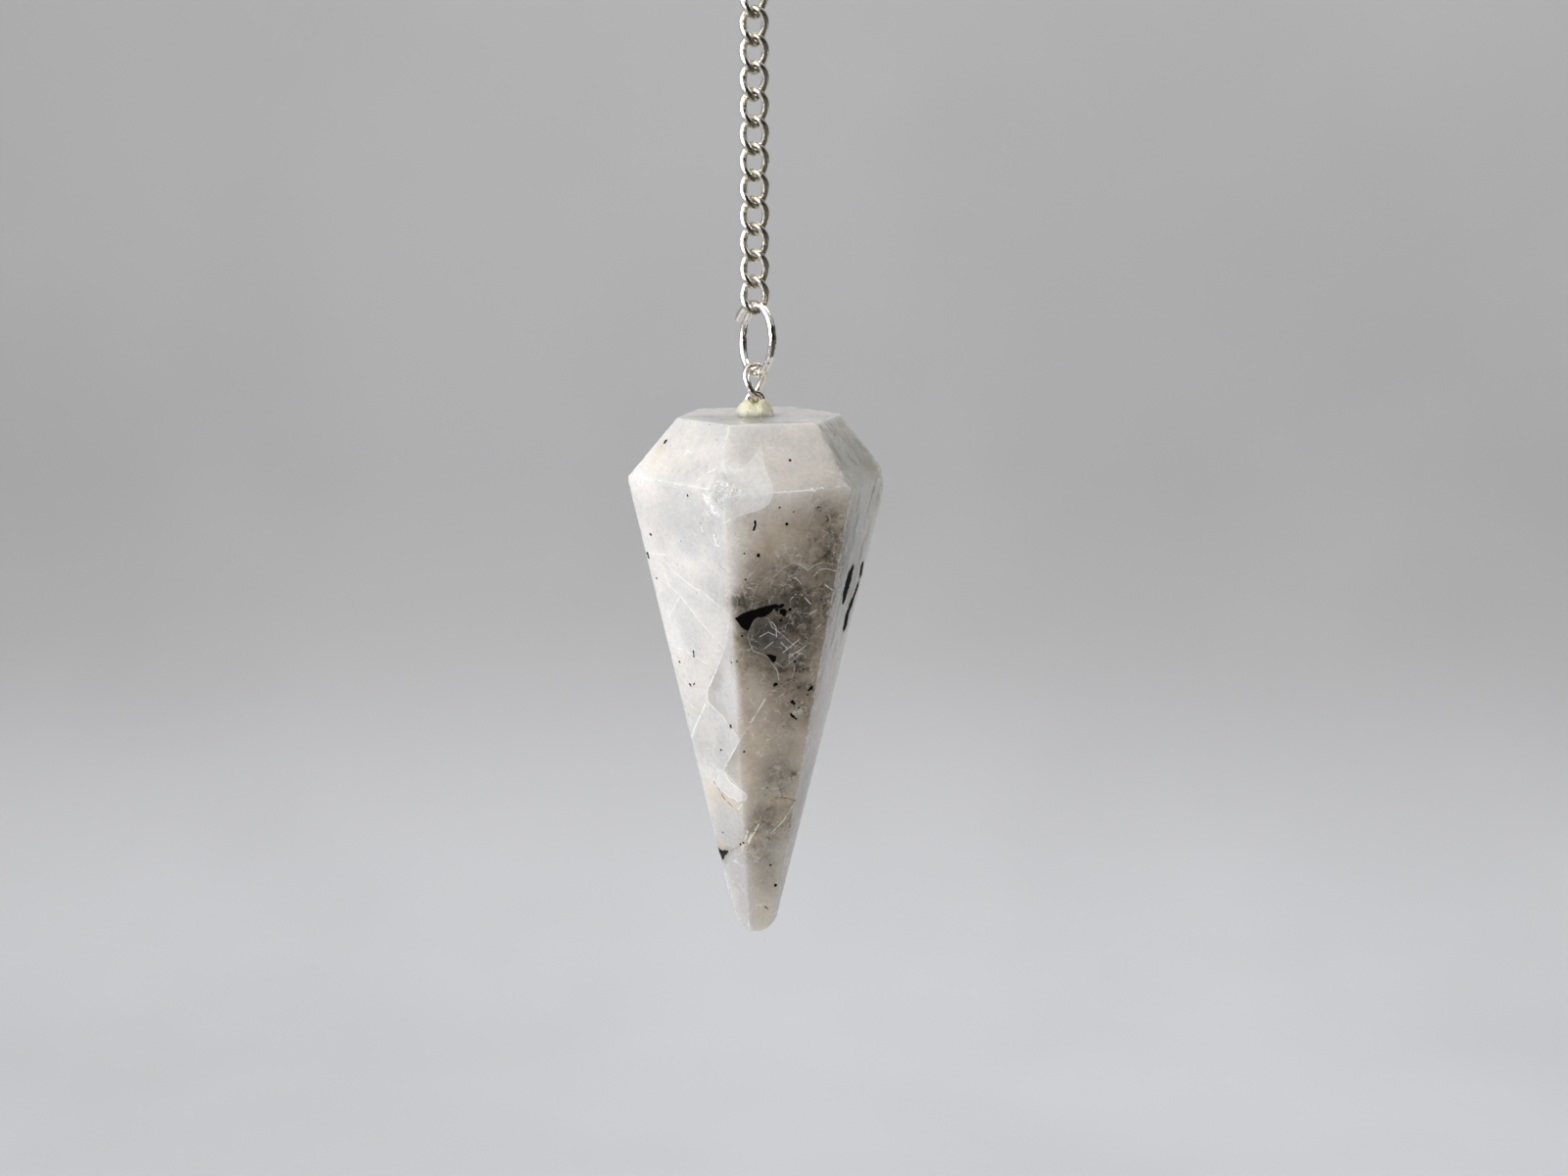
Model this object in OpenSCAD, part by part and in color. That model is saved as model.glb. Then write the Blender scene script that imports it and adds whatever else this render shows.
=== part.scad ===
// A hanging pendulum: a cut stone drop on an eye pin, a jump ring and a curb chain.
// Millimetres, +Z up, front towards -Y. The origin is inside the top of the end ring,
// where a hook or a finger carries it, and every piece hangs below the one before.

/* [End ring] */
// Outer width of the plain ring at the chain's free end
end_ring_w = 8; // [7.6:0.2:12]
// Thickness of its wire
end_ring_wire = 0.7; // [0.5:0.05:0.9]
// Turn of its plane about the vertical
end_ring_turn = 90; // [0:1:180]

/* [Chain] */
// Number of links between the end ring and the jump ring
chain_links = 12; // [4:1:24]
// Outer length of one link
link_len = 3.24; // [3:0.02:4]
// Outer width of one link, across its middle
link_w = 2.34; // [2.2:0.02:3]
// Thickness of the link's wire
link_wire = 0.56; // [0.36:0.02:0.6]
// How round a link's outline is: 1 is an oval, and less has straighter sides
link_round = 0.88; // [0.8:0.02:1]
// Twist of a link from one end to the other
link_twist = 90; // [70:1:100]
// Turn of the lowest link about the vertical
chain_turn_foot = -4; // [-20:1:20]
// Turn of the highest link about the vertical
chain_turn_top = 22; // [0:1:40]
// Gap left where one wire hangs on another
hang_gap = 0.04; // [0.02:0.01:0.1]

/* [Jump ring] */
// Outer width of the jump ring
ring_w = 6.26; // [5.4:0.02:8]
// Thickness of its wire
ring_wire = 0.66; // [0.4:0.02:0.7]
// Turn of its plane about the vertical
ring_turn = -61; // [-75:1:-40]
// Angle of the cut, seen along the ring's axis, from its near side
ring_cut = 141; // [120:1:160]
// How far each cut end runs past the middle of the cut
ring_overlap = 12; // [4:1:16]
// Gap between the two ends, which lie side by side
ring_end_gap = 0.06; // [0.04:0.01:0.2]

/* [Connector and eye pin] */
// Turn of the single link under the jump ring
connector_turn = 50; // [30:1:70]
// Outer width of the pin's eye
eye_w = 1.75; // [1.7:0.05:2.4]
// Thickness of the pin's wire
pin_wire = 0.42; // [0.3:0.02:0.46]
// Turn of the eye's plane
eye_turn = 22; // [0:1:40]
// Height of the eye over the stone's table
eye_lift = 0.32; // [0.2:0.02:1]
// Length of the pin inside the stone
pin_depth = 6; // [3:0.5:10]

/* [Glue] */
// Width of the glue bead on the table
glue_w = 3.2; // [2.8:0.1:5]
// Height of the glue bead
glue_h = 1.35; // [1.1:0.05:1.6]
// Clearance between the glue and the metal and stone that it holds
glue_fit = 0.02; // [0.01:0.01:0.05]
// Room that the glue leaves round the connector
saddle_room = 0.2; // [0.15:0.01:0.3]

/* [Stone] */
// Length of the stone from its table to its tip
stone_len = 43.8; // [34:0.2:54]
// Width of the stone at its girdle
stone_w = 21; // [17:0.2:26]
// Width that the table's facet places are shares of
table_w = 13; // [10:0.2:15]
// Height of the crown above the girdle
crown_h = 4.6; // [3.4:0.2:7]
// Height over which the girdle's corner flats lean outwards
flat_h = 2; // [1:0.1:4]
// Width of the stone where its rounded tip begins
tip_w = 4; // [3:0.2:6]
// Height of the rounded tip
tip_h = 2.2; // [1.4:0.1:4]
// Width of the egg-shaped nose that rounds the tip
nose_w = 4.2; // [3:0.1:6]
// Height of the nose from its widest level to the very tip
nose_h = 3; // [1.6:0.1:5]
// Width of the bore for the pin
bore_w = 1.2; // [1:0.05:2]
// Depth of the bore
bore_depth = 7; // [4:0.5:12]

/* [Hidden] */
link_names = [for (i = [1:chain_links]) str("link_", i < 10 ? "0" : "", i)];

$fn = 48;
// Sides along a meshed link and round its wire
link_sides = 16;
wire_sides = 6;

// The crown's facets: direction from the front towards the right, then how far out the
// facet lies at the table and at the girdle, as shares of half of table_w and of stone_w
azimuth = 0;
upper_share = 1;
lower_share = 2;
crown_facets = [
    [-103.5, 0.87, 0.89],
    [-47, 0.87, 0.84],
    [11, 0.88, 0.885],
    [72, 0.95, 0.90],
    [129, 0.95, 0.88],
    [192, 0.86, 0.865]
];
// The long facets of the point, by the same columns: shares at the girdle and at the tip,
// of half of stone_w and of tip_w
point_facets = [
    [-106, 0.89, 0.96],
    [-47, 0.84, 0.79],
    [15, 0.91, 0.68],
    [71, 0.935, 0.955],
    [133, 0.89, 0.635],
    [192, 0.89, 0.805]
];
// Small flats that blunt some of the girdle's corners, by the same columns: shares of half of
// stone_w at the girdle and flat_h below it
corner_flats = [
    [99, 0.99, 1.01],
    [162, 1, 1],
    [-80, 0.985, 0.985]
];
// The glue bead's outline, from the table upwards: radius and height as shares of its half
// width and its height
glue_radius = 0;
glue_level = 1;
glue_outline = [
    [1, 0],
    [0.86, 0.16],
    [0.74, 0.42],
    [0.66, 0.72],
    [0.54, 0.92],
    [0.3, 1]
];

// Centre lines of the wires
end_ring_r = (end_ring_w - end_ring_wire) / 2;
link_a = (link_w - link_wire) / 2;
link_b = (link_len - link_wire) / 2;
ring_r = (ring_w - ring_wire) / 2;
eye_r = (eye_w - pin_wire) / 2;

// Heights, from the end ring down: each wire lies a hang_gap clear of the one that carries it
function hang(wire_1, wire_2) = (wire_1 + wire_2) / 2 + hang_gap;
link_pitch = link_len - 2 * link_wire - hang_gap;
end_ring_z = end_ring_wire - end_ring_w / 2;
first_link_z = end_ring_z - end_ring_r + hang(end_ring_wire, link_wire) - link_b;
last_link_z = first_link_z - (chain_links - 1) * link_pitch;
ring_top_z = last_link_z - link_b + hang(link_wire, ring_wire);
ring_z = ring_top_z - ring_r;
connector_z = ring_z - ring_r + hang(ring_wire, link_wire) - link_b;
eye_z = connector_z - link_b + hang(link_wire, pin_wire) - eye_r;
table_z = eye_z - eye_w / 2 - eye_lift;
girdle_z = table_z - crown_h;
stone_foot_z = table_z - stone_len;
tip_z = stone_foot_z + tip_h;

// Turn of a link, from the top of the chain to its foot
function link_turn(i) = chain_turn_top
    + (chain_turn_foot - chain_turn_top) * (i - 1) / (chain_links - 1);

function unit(v) = v / norm(v);
// A sine or cosine that squares an oval's outline by link_round
function squared(v) = sign(v) * pow(abs(v), link_round);
// A point of a curb link's centre line: a squared oval whose two ends are twisted opposite ways
function link_point(t) =
    let (
        x = link_a * squared(cos(t)),
        z = link_b * squared(sin(t)),
        turn = -link_twist / 2 * z / link_b
    )
    [x * cos(turn), x * sin(turn), z];
// Step to either side that gives the centre line's direction
small_step = 0.5;
// The ring of points round the wire at one place of the centre line
function wire_ring(t) =
    let (
        p = link_point(t),
        along = unit(link_point(t + small_step) - link_point(t - small_step)),
        out = unit(p - along * (along * p)),
        side = cross(along, out)
    )
    [for (j = [0:wire_sides - 1])
        let (a = 360 * j / wire_sides)
        p + link_wire / 2 * (cos(a) * out + sin(a) * side)];

// A curb link round its own centre, with its middle across X
module curb_link() {
    points = [for (i = [0:link_sides - 1]) each wire_ring(360 * i / link_sides)];
    faces = [for (i = [0:link_sides - 1], j = [0:wire_sides - 1])
        let (
            near = i * wire_sides,
            far = (i + 1) % link_sides * wire_sides,
            j_next = (j + 1) % wire_sides
        )
        each [
            [near + j, far + j, far + j_next],
            [near + j, far + j_next, near + j_next]
        ]];
    polyhedron(points = points, faces = faces, convexity = 4);
}

// The plain closed ring that the chain hangs from
module end_ring() {
    color("silver")
        translate([0, 0, end_ring_z])
            rotate([90, 0, end_ring_turn])
                rotate_extrude()
                    translate([end_ring_r, 0])
                        circle(d = end_ring_wire);
}

module chain_link(i) {
    color("lightgray")
        translate([0, 0, first_link_z - (i - 1) * link_pitch])
            rotate([0, 0, link_turn(i)])
                curb_link();
}

// One half of the jump ring, bent sideways about the point opposite the cut
module ring_half(side, bend) {
    translate([ring_r, 0, 0])
        rotate([0, side * bend, 0])
            translate([-ring_r, 0, 0])
                mirror([0, side < 0 ? 1 : 0, 0])
                    rotate_extrude(angle = 180 + ring_overlap)
                        translate([ring_r, 0])
                            circle(d = ring_wire);
}

// The open ring: its ends lie side by side, and it leans so that its top and foot are plumb
module jump_ring() {
    quarter = (ring_wire + ring_end_gap) / 4;
    bend = asin(quarter / ring_r);
    hinge = ring_cut - 180;
    color("gainsboro")
        translate([0, 0, ring_z])
            rotate([90, 0, ring_turn])
                translate([0, 0, quarter * cos(90 - hinge)])
                    rotate([-bend, 0, 0])
                        rotate([0, 0, hinge])
                            for (side = [1, -1])
                                ring_half(side, bend);
}

module connector_link() {
    color("lightgray")
        translate([0, 0, connector_z])
            rotate([0, 0, connector_turn])
                curb_link();
}

// The pin's form, grown by a fit where it is cut from the glue
module pin_form(fit) {
    translate([0, 0, eye_z])
        rotate([90, 0, eye_turn])
            rotate_extrude()
                translate([eye_r, 0])
                    circle(d = pin_wire + 2 * fit);
    translate([0, 0, table_z - pin_depth - fit])
        cylinder(d = pin_wire + 2 * fit, h = pin_depth + fit + eye_z - eye_r - table_z);
}

module eye_pin() {
    color("silver")
        pin_form(0);
}

// Room for the connector's foot, which lies in a notch of the glue
module connector_room() {
    foot_z = connector_z - link_b;
    room_w = link_wire + 2 * saddle_room;
    translate([0, 0, foot_z])
        rotate([0, 0, connector_turn + link_twist / 2]) {
            rotate([0, 90, 0])
                cylinder(d = room_w, h = glue_w, center = true);
            translate([-glue_w / 2, -room_w / 2, 0])
                cube([glue_w, room_w, glue_h]);
        }
}

module glue_bead() {
    mound = [for (row = glue_outline)
        [row[glue_radius] * glue_w / 2, row[glue_level] * glue_h]];
    color("khaki", 0.7)
        difference() {
            union() {
                translate([0, 0, table_z + glue_fit])
                    rotate_extrude()
                        polygon(concat([[0, 0]], mound, [[0, glue_h]]));
                translate([0, 0, table_z - bore_depth + glue_fit])
                    cylinder(d = bore_w - 2 * glue_fit, h = bore_depth + glue_fit);
            }
            pin_form(glue_fit);
            connector_room();
        }
}

// All that lies inside one facet, given by two points of its slope: how far out, how high
module inside_facet(turn, high, low) {
    out = 0;
    up = 1;
    reach = 3 * stone_w;
    spare = 1;
    slope = (high[out] - low[out]) / (high[up] - low[up]);
    top = table_z + spare;
    foot = stone_foot_z - spare;
    rotate([0, 0, turn])
        rotate([90, 0, -90])
            linear_extrude(height = 2 * reach, center = true)
                polygon([
                    [-reach, top],
                    [high[out] + slope * (top - high[up]), top],
                    [high[out] + slope * (foot - high[up]), foot],
                    [-reach, foot]
                ]);
}

// A form wider than the stone down to its point, where an egg-shaped nose rounds it off
module nose_limit() {
    hull() {
        translate([0, 0, girdle_z])
            cylinder(d = 1.5 * stone_w, h = crown_h + glue_h);
        translate([0, 0, stone_foot_z + nose_h])
            scale([nose_w / 2, nose_w / 2, nose_h])
                sphere(r = 1);
    }
}

// The cut stone: a flat table, a crown, long facets down to the point, and a rounded tip
module stone() {
    color("whitesmoke")
        difference() {
            intersection() {
                translate([-stone_w, -stone_w, stone_foot_z])
                    cube([2 * stone_w, 2 * stone_w, stone_len]);
                intersection_for (row = crown_facets)
                    inside_facet(
                        row[azimuth],
                        [row[upper_share] * table_w / 2, table_z],
                        [row[lower_share] * stone_w / 2, girdle_z]
                    );
                intersection_for (row = point_facets)
                    inside_facet(
                        row[azimuth],
                        [row[upper_share] * stone_w / 2, girdle_z],
                        [row[lower_share] * tip_w / 2, tip_z]
                    );
                nose_limit();
                intersection_for (row = corner_flats)
                    inside_facet(
                        row[azimuth],
                        [row[upper_share] * stone_w / 2, girdle_z],
                        [row[lower_share] * stone_w / 2, girdle_z - flat_h]
                    );
            }
            translate([0, 0, table_z - bore_depth])
                cylinder(d = bore_w, h = bore_depth + glue_h);
        }
}

end_ring();
for (i = [1:chain_links]) chain_link(i);
jump_ring();
connector_link();
eye_pin();
glue_bead();
stone();
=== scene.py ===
import bpy
import bmesh
import math
import random
import numpy as np
from mathutils import Matrix, Vector, noise
from mathutils.bvhtree import BVHTree


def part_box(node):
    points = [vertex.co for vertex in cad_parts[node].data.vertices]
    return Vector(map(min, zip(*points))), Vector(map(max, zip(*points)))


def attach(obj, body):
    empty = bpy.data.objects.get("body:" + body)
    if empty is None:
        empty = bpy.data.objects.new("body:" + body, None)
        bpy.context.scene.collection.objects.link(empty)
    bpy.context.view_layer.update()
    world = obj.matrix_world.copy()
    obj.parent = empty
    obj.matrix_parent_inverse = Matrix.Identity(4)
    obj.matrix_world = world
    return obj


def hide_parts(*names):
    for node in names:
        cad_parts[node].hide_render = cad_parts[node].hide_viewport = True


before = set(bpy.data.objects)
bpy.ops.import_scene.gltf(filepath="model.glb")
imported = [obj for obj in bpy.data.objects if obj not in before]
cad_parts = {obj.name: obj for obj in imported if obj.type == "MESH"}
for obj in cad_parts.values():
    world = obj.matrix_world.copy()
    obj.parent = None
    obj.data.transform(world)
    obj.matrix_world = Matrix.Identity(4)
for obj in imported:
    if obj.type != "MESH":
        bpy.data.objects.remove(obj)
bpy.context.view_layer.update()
mm = 0.001
print("frame loaded:", len(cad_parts), "nodes")


# camera
view = {
    "width": 1600,  # the photograph's own frame, in pixels
    "height": 1200,
    "lens": 50,
    "sensor": 36,
    "place": (2.35, -175.0, -18.76),  # millimetres, in the pendulum's frame
    "pitch": 11.5,  # degrees below the level
}
cameraPlace = Vector(view["place"]) * mm
cameraTurn = Matrix.Rotation(math.radians(90 - view["pitch"]), 3, "X")
focalPixels = view["lens"] / view["sensor"] * view["width"]


def makeCamera():
    data = bpy.data.cameras.new("camera")
    data.lens = view["lens"]
    data.sensor_width = view["sensor"]
    data.clip_start = 0.01
    camera = bpy.data.objects.new("camera", data)
    camera.location = cameraPlace
    camera.rotation_euler = cameraTurn.to_euler()
    bpy.context.scene.collection.objects.link(camera)
    bpy.context.scene.camera = camera
    print("camera set:", view["lens"], "mm lens")


def pixelRay(x, y):
    across = x - view["width"] / 2
    up = view["height"] / 2 - y
    return (cameraTurn @ Vector((across, up, -focalPixels))).normalized()


def pixelsOf(points):
    # photograph pixels of points in the pendulum's frame, metres
    seen = (np.asarray(points) - np.array(cameraPlace)) @ np.array(cameraTurn)
    return np.stack([
        view["width"] / 2 - focalPixels * seen[:, 0] / seen[:, 2],
        view["height"] / 2 + focalPixels * seen[:, 1] / seen[:, 2],
    ], axis=1)


# shader helper
class Nodes:
    # a node tree with short names for the nodes that it is made of
    def __init__(self, tree):
        self.tree = tree

    def node(self, kind, *sources, output=0, **settings):
        made = self.tree.nodes.new("ShaderNode" + kind)
        for name, value in settings.items():
            setattr(made, name, value)
        for place, source in enumerate(sources):
            self.plug(made.inputs[place], source)
        return made.outputs[output]

    def plug(self, socket, source):
        if source is None:
            return
        if isinstance(source, bpy.types.NodeSocket):
            self.tree.links.new(source, socket)
        else:
            socket.default_value = source

    def spot(self):
        # place on the piece in millimetres
        return self.scaled(self.node("TexCoord", output=3), 1 / mm)

    def upOf(self, vector):
        return self.node("SeparateXYZ", vector, output=2)

    def scaled(self, vector, factor):
        return self.node("VectorMath", vector, None, None, factor, operation="SCALE")

    def shifted(self, vector, other, way="ADD"):
        return self.node("VectorMath", vector, other, operation=way)

    def maths(self, way, first, second=0.5, limit=False):
        return self.node("Math", first, second, operation=way, use_clamp=limit)

    def times(self, first, *others, limit=False):
        for other in others:
            first = self.maths("MULTIPLY", first, other, limit)
        return first

    def plus(self, first, second):
        return self.maths("ADD", first, second)

    def most(self, first, second):
        return self.maths("MAXIMUM", first, second)

    def centred(self, noiseValue):
        return self.maths("SUBTRACT", noiseValue, 0.5)

    def without(self, share):
        # what a share leaves of 1
        return self.maths("SUBTRACT", 1.0, share)

    def fade(self, value, low, high, start=0.0, end=1.0):
        return self.node("MapRange", value, low, high, start, end, interpolation_type="SMOOTHSTEP")

    def blend(self, share, first, second):
        made = self.tree.nodes.new("ShaderNodeMix")
        for place, source in ((0, share), (2, first), (3, second)):
            self.plug(made.inputs[place], source)
        return made.outputs[0]

    def mixed(self, share, first, second, way="MIX"):
        made = self.tree.nodes.new("ShaderNodeMix")
        made.data_type = "RGBA"
        made.blend_type = way
        for place, source in ((0, share), (6, first), (7, second)):
            self.plug(made.inputs[place], source)
        return made.outputs[2]

    def dimmed(self, colour, level):
        # a colour times one level for all its channels
        return self.mixed(1.0, colour, self.node("CombineXYZ", level, level, level), "MULTIPLY")

    def cloud(self, vector, scale, detail=3.0, rough=0.5, colour=False):
        made = self.tree.nodes.new("ShaderNodeTexNoise")
        values = {"Vector": vector, "Scale": scale, "Detail": detail, "Roughness": rough}
        for name, source in values.items():
            self.plug(made.inputs[name], source)
        return made.outputs["Color" if colour else "Fac"]

    def jitter(self, vector, scale):
        # a small vector of noise, up to about half a unit each way
        return self.shifted(self.cloud(vector, scale, 2.0, colour=True), (0.5, 0.5, 0.5), "SUBTRACT")

    def warped(self, vector, scale, reach):
        # the place pushed about by noise, up to about half of reach each way
        return self.shifted(vector, self.scaled(self.jitter(vector, scale), reach))

    def grains(self, vector, scale, feature="F1"):
        made = self.tree.nodes.new("ShaderNodeTexVoronoi")
        made.feature = feature
        self.plug(made.inputs["Vector"], vector)
        made.inputs["Scale"].default_value = scale
        return made.outputs["Distance"]

    def cracks(self, vector, scale):
        # distance to the walls between cells
        return self.grains(vector, scale, "DISTANCE_TO_EDGE")

    def turned(self, vector, turn, stretch):
        made = self.tree.nodes.new("ShaderNodeMapping")
        self.plug(made.inputs["Vector"], vector)
        made.inputs["Rotation"].default_value = [math.radians(a) for a in turn]
        made.inputs["Scale"].default_value = stretch
        return made.outputs["Vector"]

    def share(self, name, output="Fac"):
        # a value stored on the piece's own points
        return self.node("Attribute", output=output, attribute_name=name)

    def strokeReach(self, name, push):
        # distance to the strokes stored under a name, in their half widths; push is a small vector
        way = self.shifted(self.share(name + "Way", "Vector"), push)
        away = self.node("VectorMath", way, operation="LENGTH", output=1)
        return self.most(away, self.fade(self.share(name + "Gap"), 0.10, 0.15, 0.0, 9.0))

    def bumped(self, height, depth):
        made = self.tree.nodes.new("ShaderNodeBump")
        made.inputs["Strength"].default_value = 1.0
        made.inputs["Distance"].default_value = depth * mm
        self.plug(made.inputs["Height"], height)
        return made.outputs["Normal"]


class Finish(Nodes):
    # a material
    def __init__(self, name):
        self.material = bpy.data.materials.new(name)
        self.material.use_nodes = True
        super().__init__(self.material.node_tree)
        self.surface = self.tree.nodes["Principled BSDF"]

    def fixed(self, **values):
        for name, value in values.items():
            self.surface.inputs[name.replace("_", " ")].default_value = value

    def feed(self, name, source):
        self.plug(self.surface.inputs[name], source)


# mesh helpers
def meshObject(name, work, material, smooth=True):
    mesh = bpy.data.meshes.new(name)
    work.to_mesh(mesh)
    work.free()
    if smooth:
        mesh.shade_smooth()
    mesh.materials.append(material)
    made = bpy.data.objects.new(name, mesh)
    bpy.context.scene.collection.objects.link(made)
    return made


def placeMesh(name, work, material, body, replaced):
    # a piece that rides on a body and stands in for nodes of the frame
    piece = meshObject(name, work, material)
    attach(piece, body)
    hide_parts(*replaced)
    return piece


def roundTurns(count):
    return [2 * math.pi * i / count for i in range(count)]


def wireMesh(centres, outs, radius, sides, closed):
    # a wire swept along centre points; outs are unit vectors across it, and radius(step, angle) its thickness
    work = bmesh.new()
    count = len(centres)
    turns = roundTurns(sides)
    rings = []
    for i, (centre, out) in enumerate(zip(centres, outs)):
        before = centres[i - 1] if closed or i > 0 else centre
        after = centres[(i + 1) % count] if closed or i < count - 1 else centre
        along = (after - before).normalized()
        out = (out - along * out.dot(along)).normalized()
        side = along.cross(out)
        rings.append([
            work.verts.new(centre + (out * math.cos(a) + side * math.sin(a)) * radius(i, a)) for a in turns
        ])
    for near, far in zip(rings, rings[1:] + rings[:1] if closed else rings[1:]):
        for j in range(sides):
            k = (j + 1) % sides
            work.faces.new((near[j], near[k], far[k], far[j]))
    if not closed:
        work.faces.new(list(reversed(rings[0])))
        work.faces.new(rings[-1])
    bmesh.ops.recalc_face_normals(work, faces=work.faces)
    return work


def heights(piece):
    return np.array([v.co.z for v in piece.data.vertices])


def storeShare(piece, name, values):
    values = np.asarray(values, np.float32)
    kind, field = ("FLOAT_VECTOR", "vector") if values.ndim == 2 else ("FLOAT", "value")
    piece.data.attributes.new(name, kind, "POINT").data.foreach_set(field, values.ravel())


def smoothStep(value, low, high):
    share = np.clip((np.asarray(value, float) - low) / (high - low), 0, 1)
    return share * share * (3 - 2 * share)


# room: floor, backdrop, light
room = {
    "floorHeight": -0.30,  # metres below the hanging point
    "floorFront": -1.4,
    "bendStart": 0.47,  # where the floor begins to curve up, behind the pendulum
    "bendRadius": 0.16,
    "bendSteps": 16,
    "wallTop": 1.1,
    "halfWidth": 1.6,
    "columns": 8,
    "lamps": {  # place, aim, size and power; the top lamp is a soft one over the backdrop
        "window": ((-0.33, -0.27, 0.10), (0, 0, -0.055), 0.30, 1.62),
        "topLamp": ((0.15, 0.42, 0.55), (0.05, 0.50, -0.30), 0.60, 2.2),
    },
    "skyUp": 0.43,
    "skyDown": 0.27,
    "skyTint": (1.0, 0.985, 0.965, 1),
    "plainSky": 0.50,  # grey that other views see past the backdrop
    "sides": {  # direction, half angle in degrees, strength
        "dim": ((0.35, -0.93, 0.02), 30, 0.97),  # behind the camera
        "gloom": ((0.66, -0.75, 0.02), 50, 0.98),  # what polished metal mirrors: dark to the right
        "pale": ((-0.75, -0.45, 0.45), 42, 1.5),  # and pale to the left
    },
    "floorTone": (0.84, 0.852, 0.885, 1),
    "wallTone": (0.655, 0.655, 0.662, 1),
    "feltTones": ((0.07, 0.064, 0.05, 1), (0.13, 0.12, 0.095, 1)),
    "sideBlur": 7,  # degrees over which a side fades out
    "cards": [  # dark cards that only polished metal mirrors: one beside the chain, one low at the front
        [(0.26, -0.10, -0.09), (0.26, 0.46, -0.09), (0.26, 0.46, 0.10), (0.26, -0.10, 0.10)],
        [(-0.10, -0.95, -0.22), (0.95, -0.95, -0.22), (0.95, 0.05, -0.22), (-0.10, 0.05, -0.22)],
    ],
}


def makeRoom():
    radius = room["bendRadius"]
    bend = Vector((0, room["bendStart"], room["floorHeight"] + radius))
    profile = [(room["floorFront"], room["floorHeight"])]
    for step in range(room["bendSteps"] + 1):
        angle = math.pi / 2 * step / room["bendSteps"]
        profile.append((bend.y + radius * math.sin(angle), bend.z - radius * math.cos(angle)))
    profile.append((bend.y + radius, room["wallTop"]))
    work = bmesh.new()
    columns = room["columns"]
    across = [room["halfWidth"] * (2 * i / columns - 1) for i in range(columns + 1)]
    rows = [[work.verts.new((x, y, z)) for x in across] for y, z in profile]
    for low, high in zip(rows, rows[1:]):
        for i in range(columns):
            work.faces.new((low[i], low[i + 1], high[i + 1], high[i]))
    meshObject("backdrop", work, backdropFinish())
    print("room made")


def backdropFinish():
    paper = Finish("backdropPaper")
    spot = paper.spot()
    wallShare = paper.fade(paper.upOf(spot), -298.0, -180.0)
    tone = paper.mixed(wallShare, room["floorTone"], room["wallTone"])
    mottle = paper.fade(paper.cloud(spot, 0.006, 3.0), 0.35, 0.65, 0.97, 1.03)
    paper.feed("Base Color", paper.dimmed(tone, mottle))
    paper.fixed(Roughness=0.85)
    return paper.material


def makeCards():
    work = bmesh.new()
    for corners in room["cards"]:
        work.faces.new([work.verts.new(corner) for corner in corners])
    felt = Finish("cardFelt")
    nap = felt.fade(felt.cloud(felt.spot(), 0.4, 4.0), 0.3, 0.7)
    felt.feed("Base Color", felt.mixed(nap, *room["feltTones"]))
    felt.fixed(Roughness=0.95)
    card = meshObject("darkCards", work, felt.material, smooth=False)
    card.visible_camera = card.visible_diffuse = card.visible_shadow = card.visible_transmission = False


def makeLight():
    for name, (place, aim, size, power) in room["lamps"].items():
        data = bpy.data.lights.new(name, "AREA")
        data.shape = "SQUARE"
        data.size = size
        data.energy = power
        lamp = bpy.data.objects.new(name, data)
        lamp.location = place
        lamp.rotation_euler = (Vector(aim) - lamp.location).to_track_quat("-Z", "Y").to_euler()
        bpy.context.scene.collection.objects.link(lamp)
    makeSky()
    print("light made:", len(room["lamps"]), "lamps and the sky")


def makeSky():
    world = bpy.data.worlds.new("roomLight")
    bpy.context.scene.world = world
    world.use_nodes = True
    sky = Nodes(world.node_tree)
    way = sky.node("TexCoord")
    level = sky.node("MapRange", sky.upOf(way), -0.5, 0.9, room["skyDown"], room["skyUp"])

    def cone(name):
        # the strength of one side of the room, fading out round its spread
        side, spread, strength = room["sides"][name]
        nearness = sky.node("VectorMath", way, Vector(side).normalized(), operation="DOT_PRODUCT", output=1)
        soft = math.radians(room["sideBlur"])
        wide = math.radians(spread)
        return sky.times(sky.fade(nearness, math.cos(wide + soft), math.cos(wide - soft)), strength)

    lit = sky.times(level, sky.without(cone("dim")))
    mirrored = sky.times(sky.plus(level, cone("pale")), sky.without(cone("gloom")))
    rays = sky.tree.nodes.new("ShaderNodeLightPath")
    strength = sky.blend(rays.outputs["Is Glossy Ray"], lit, mirrored)
    strength = sky.blend(rays.outputs["Is Camera Ray"], strength, room["plainSky"])
    back = sky.tree.nodes["Background"]
    sky.plug(back.inputs["Strength"], strength)
    back.inputs["Color"].default_value = room["skyTint"]


# silver
silverLook = {
    "bright": (0.96, 0.93, 0.85, 1),
    "ringBright": (0.97, 0.96, 0.93, 1),
    # tarnish, which also stands as painted shade where the wires cross
    "tarnishAndShade": (0.36, 0.31, 0.21, 1),
    "film": 0.30,  # how far a thin warm film dulls the open stretches
    "roughness": 0.15,
    "ringRoughness": 0.07,
}


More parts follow.
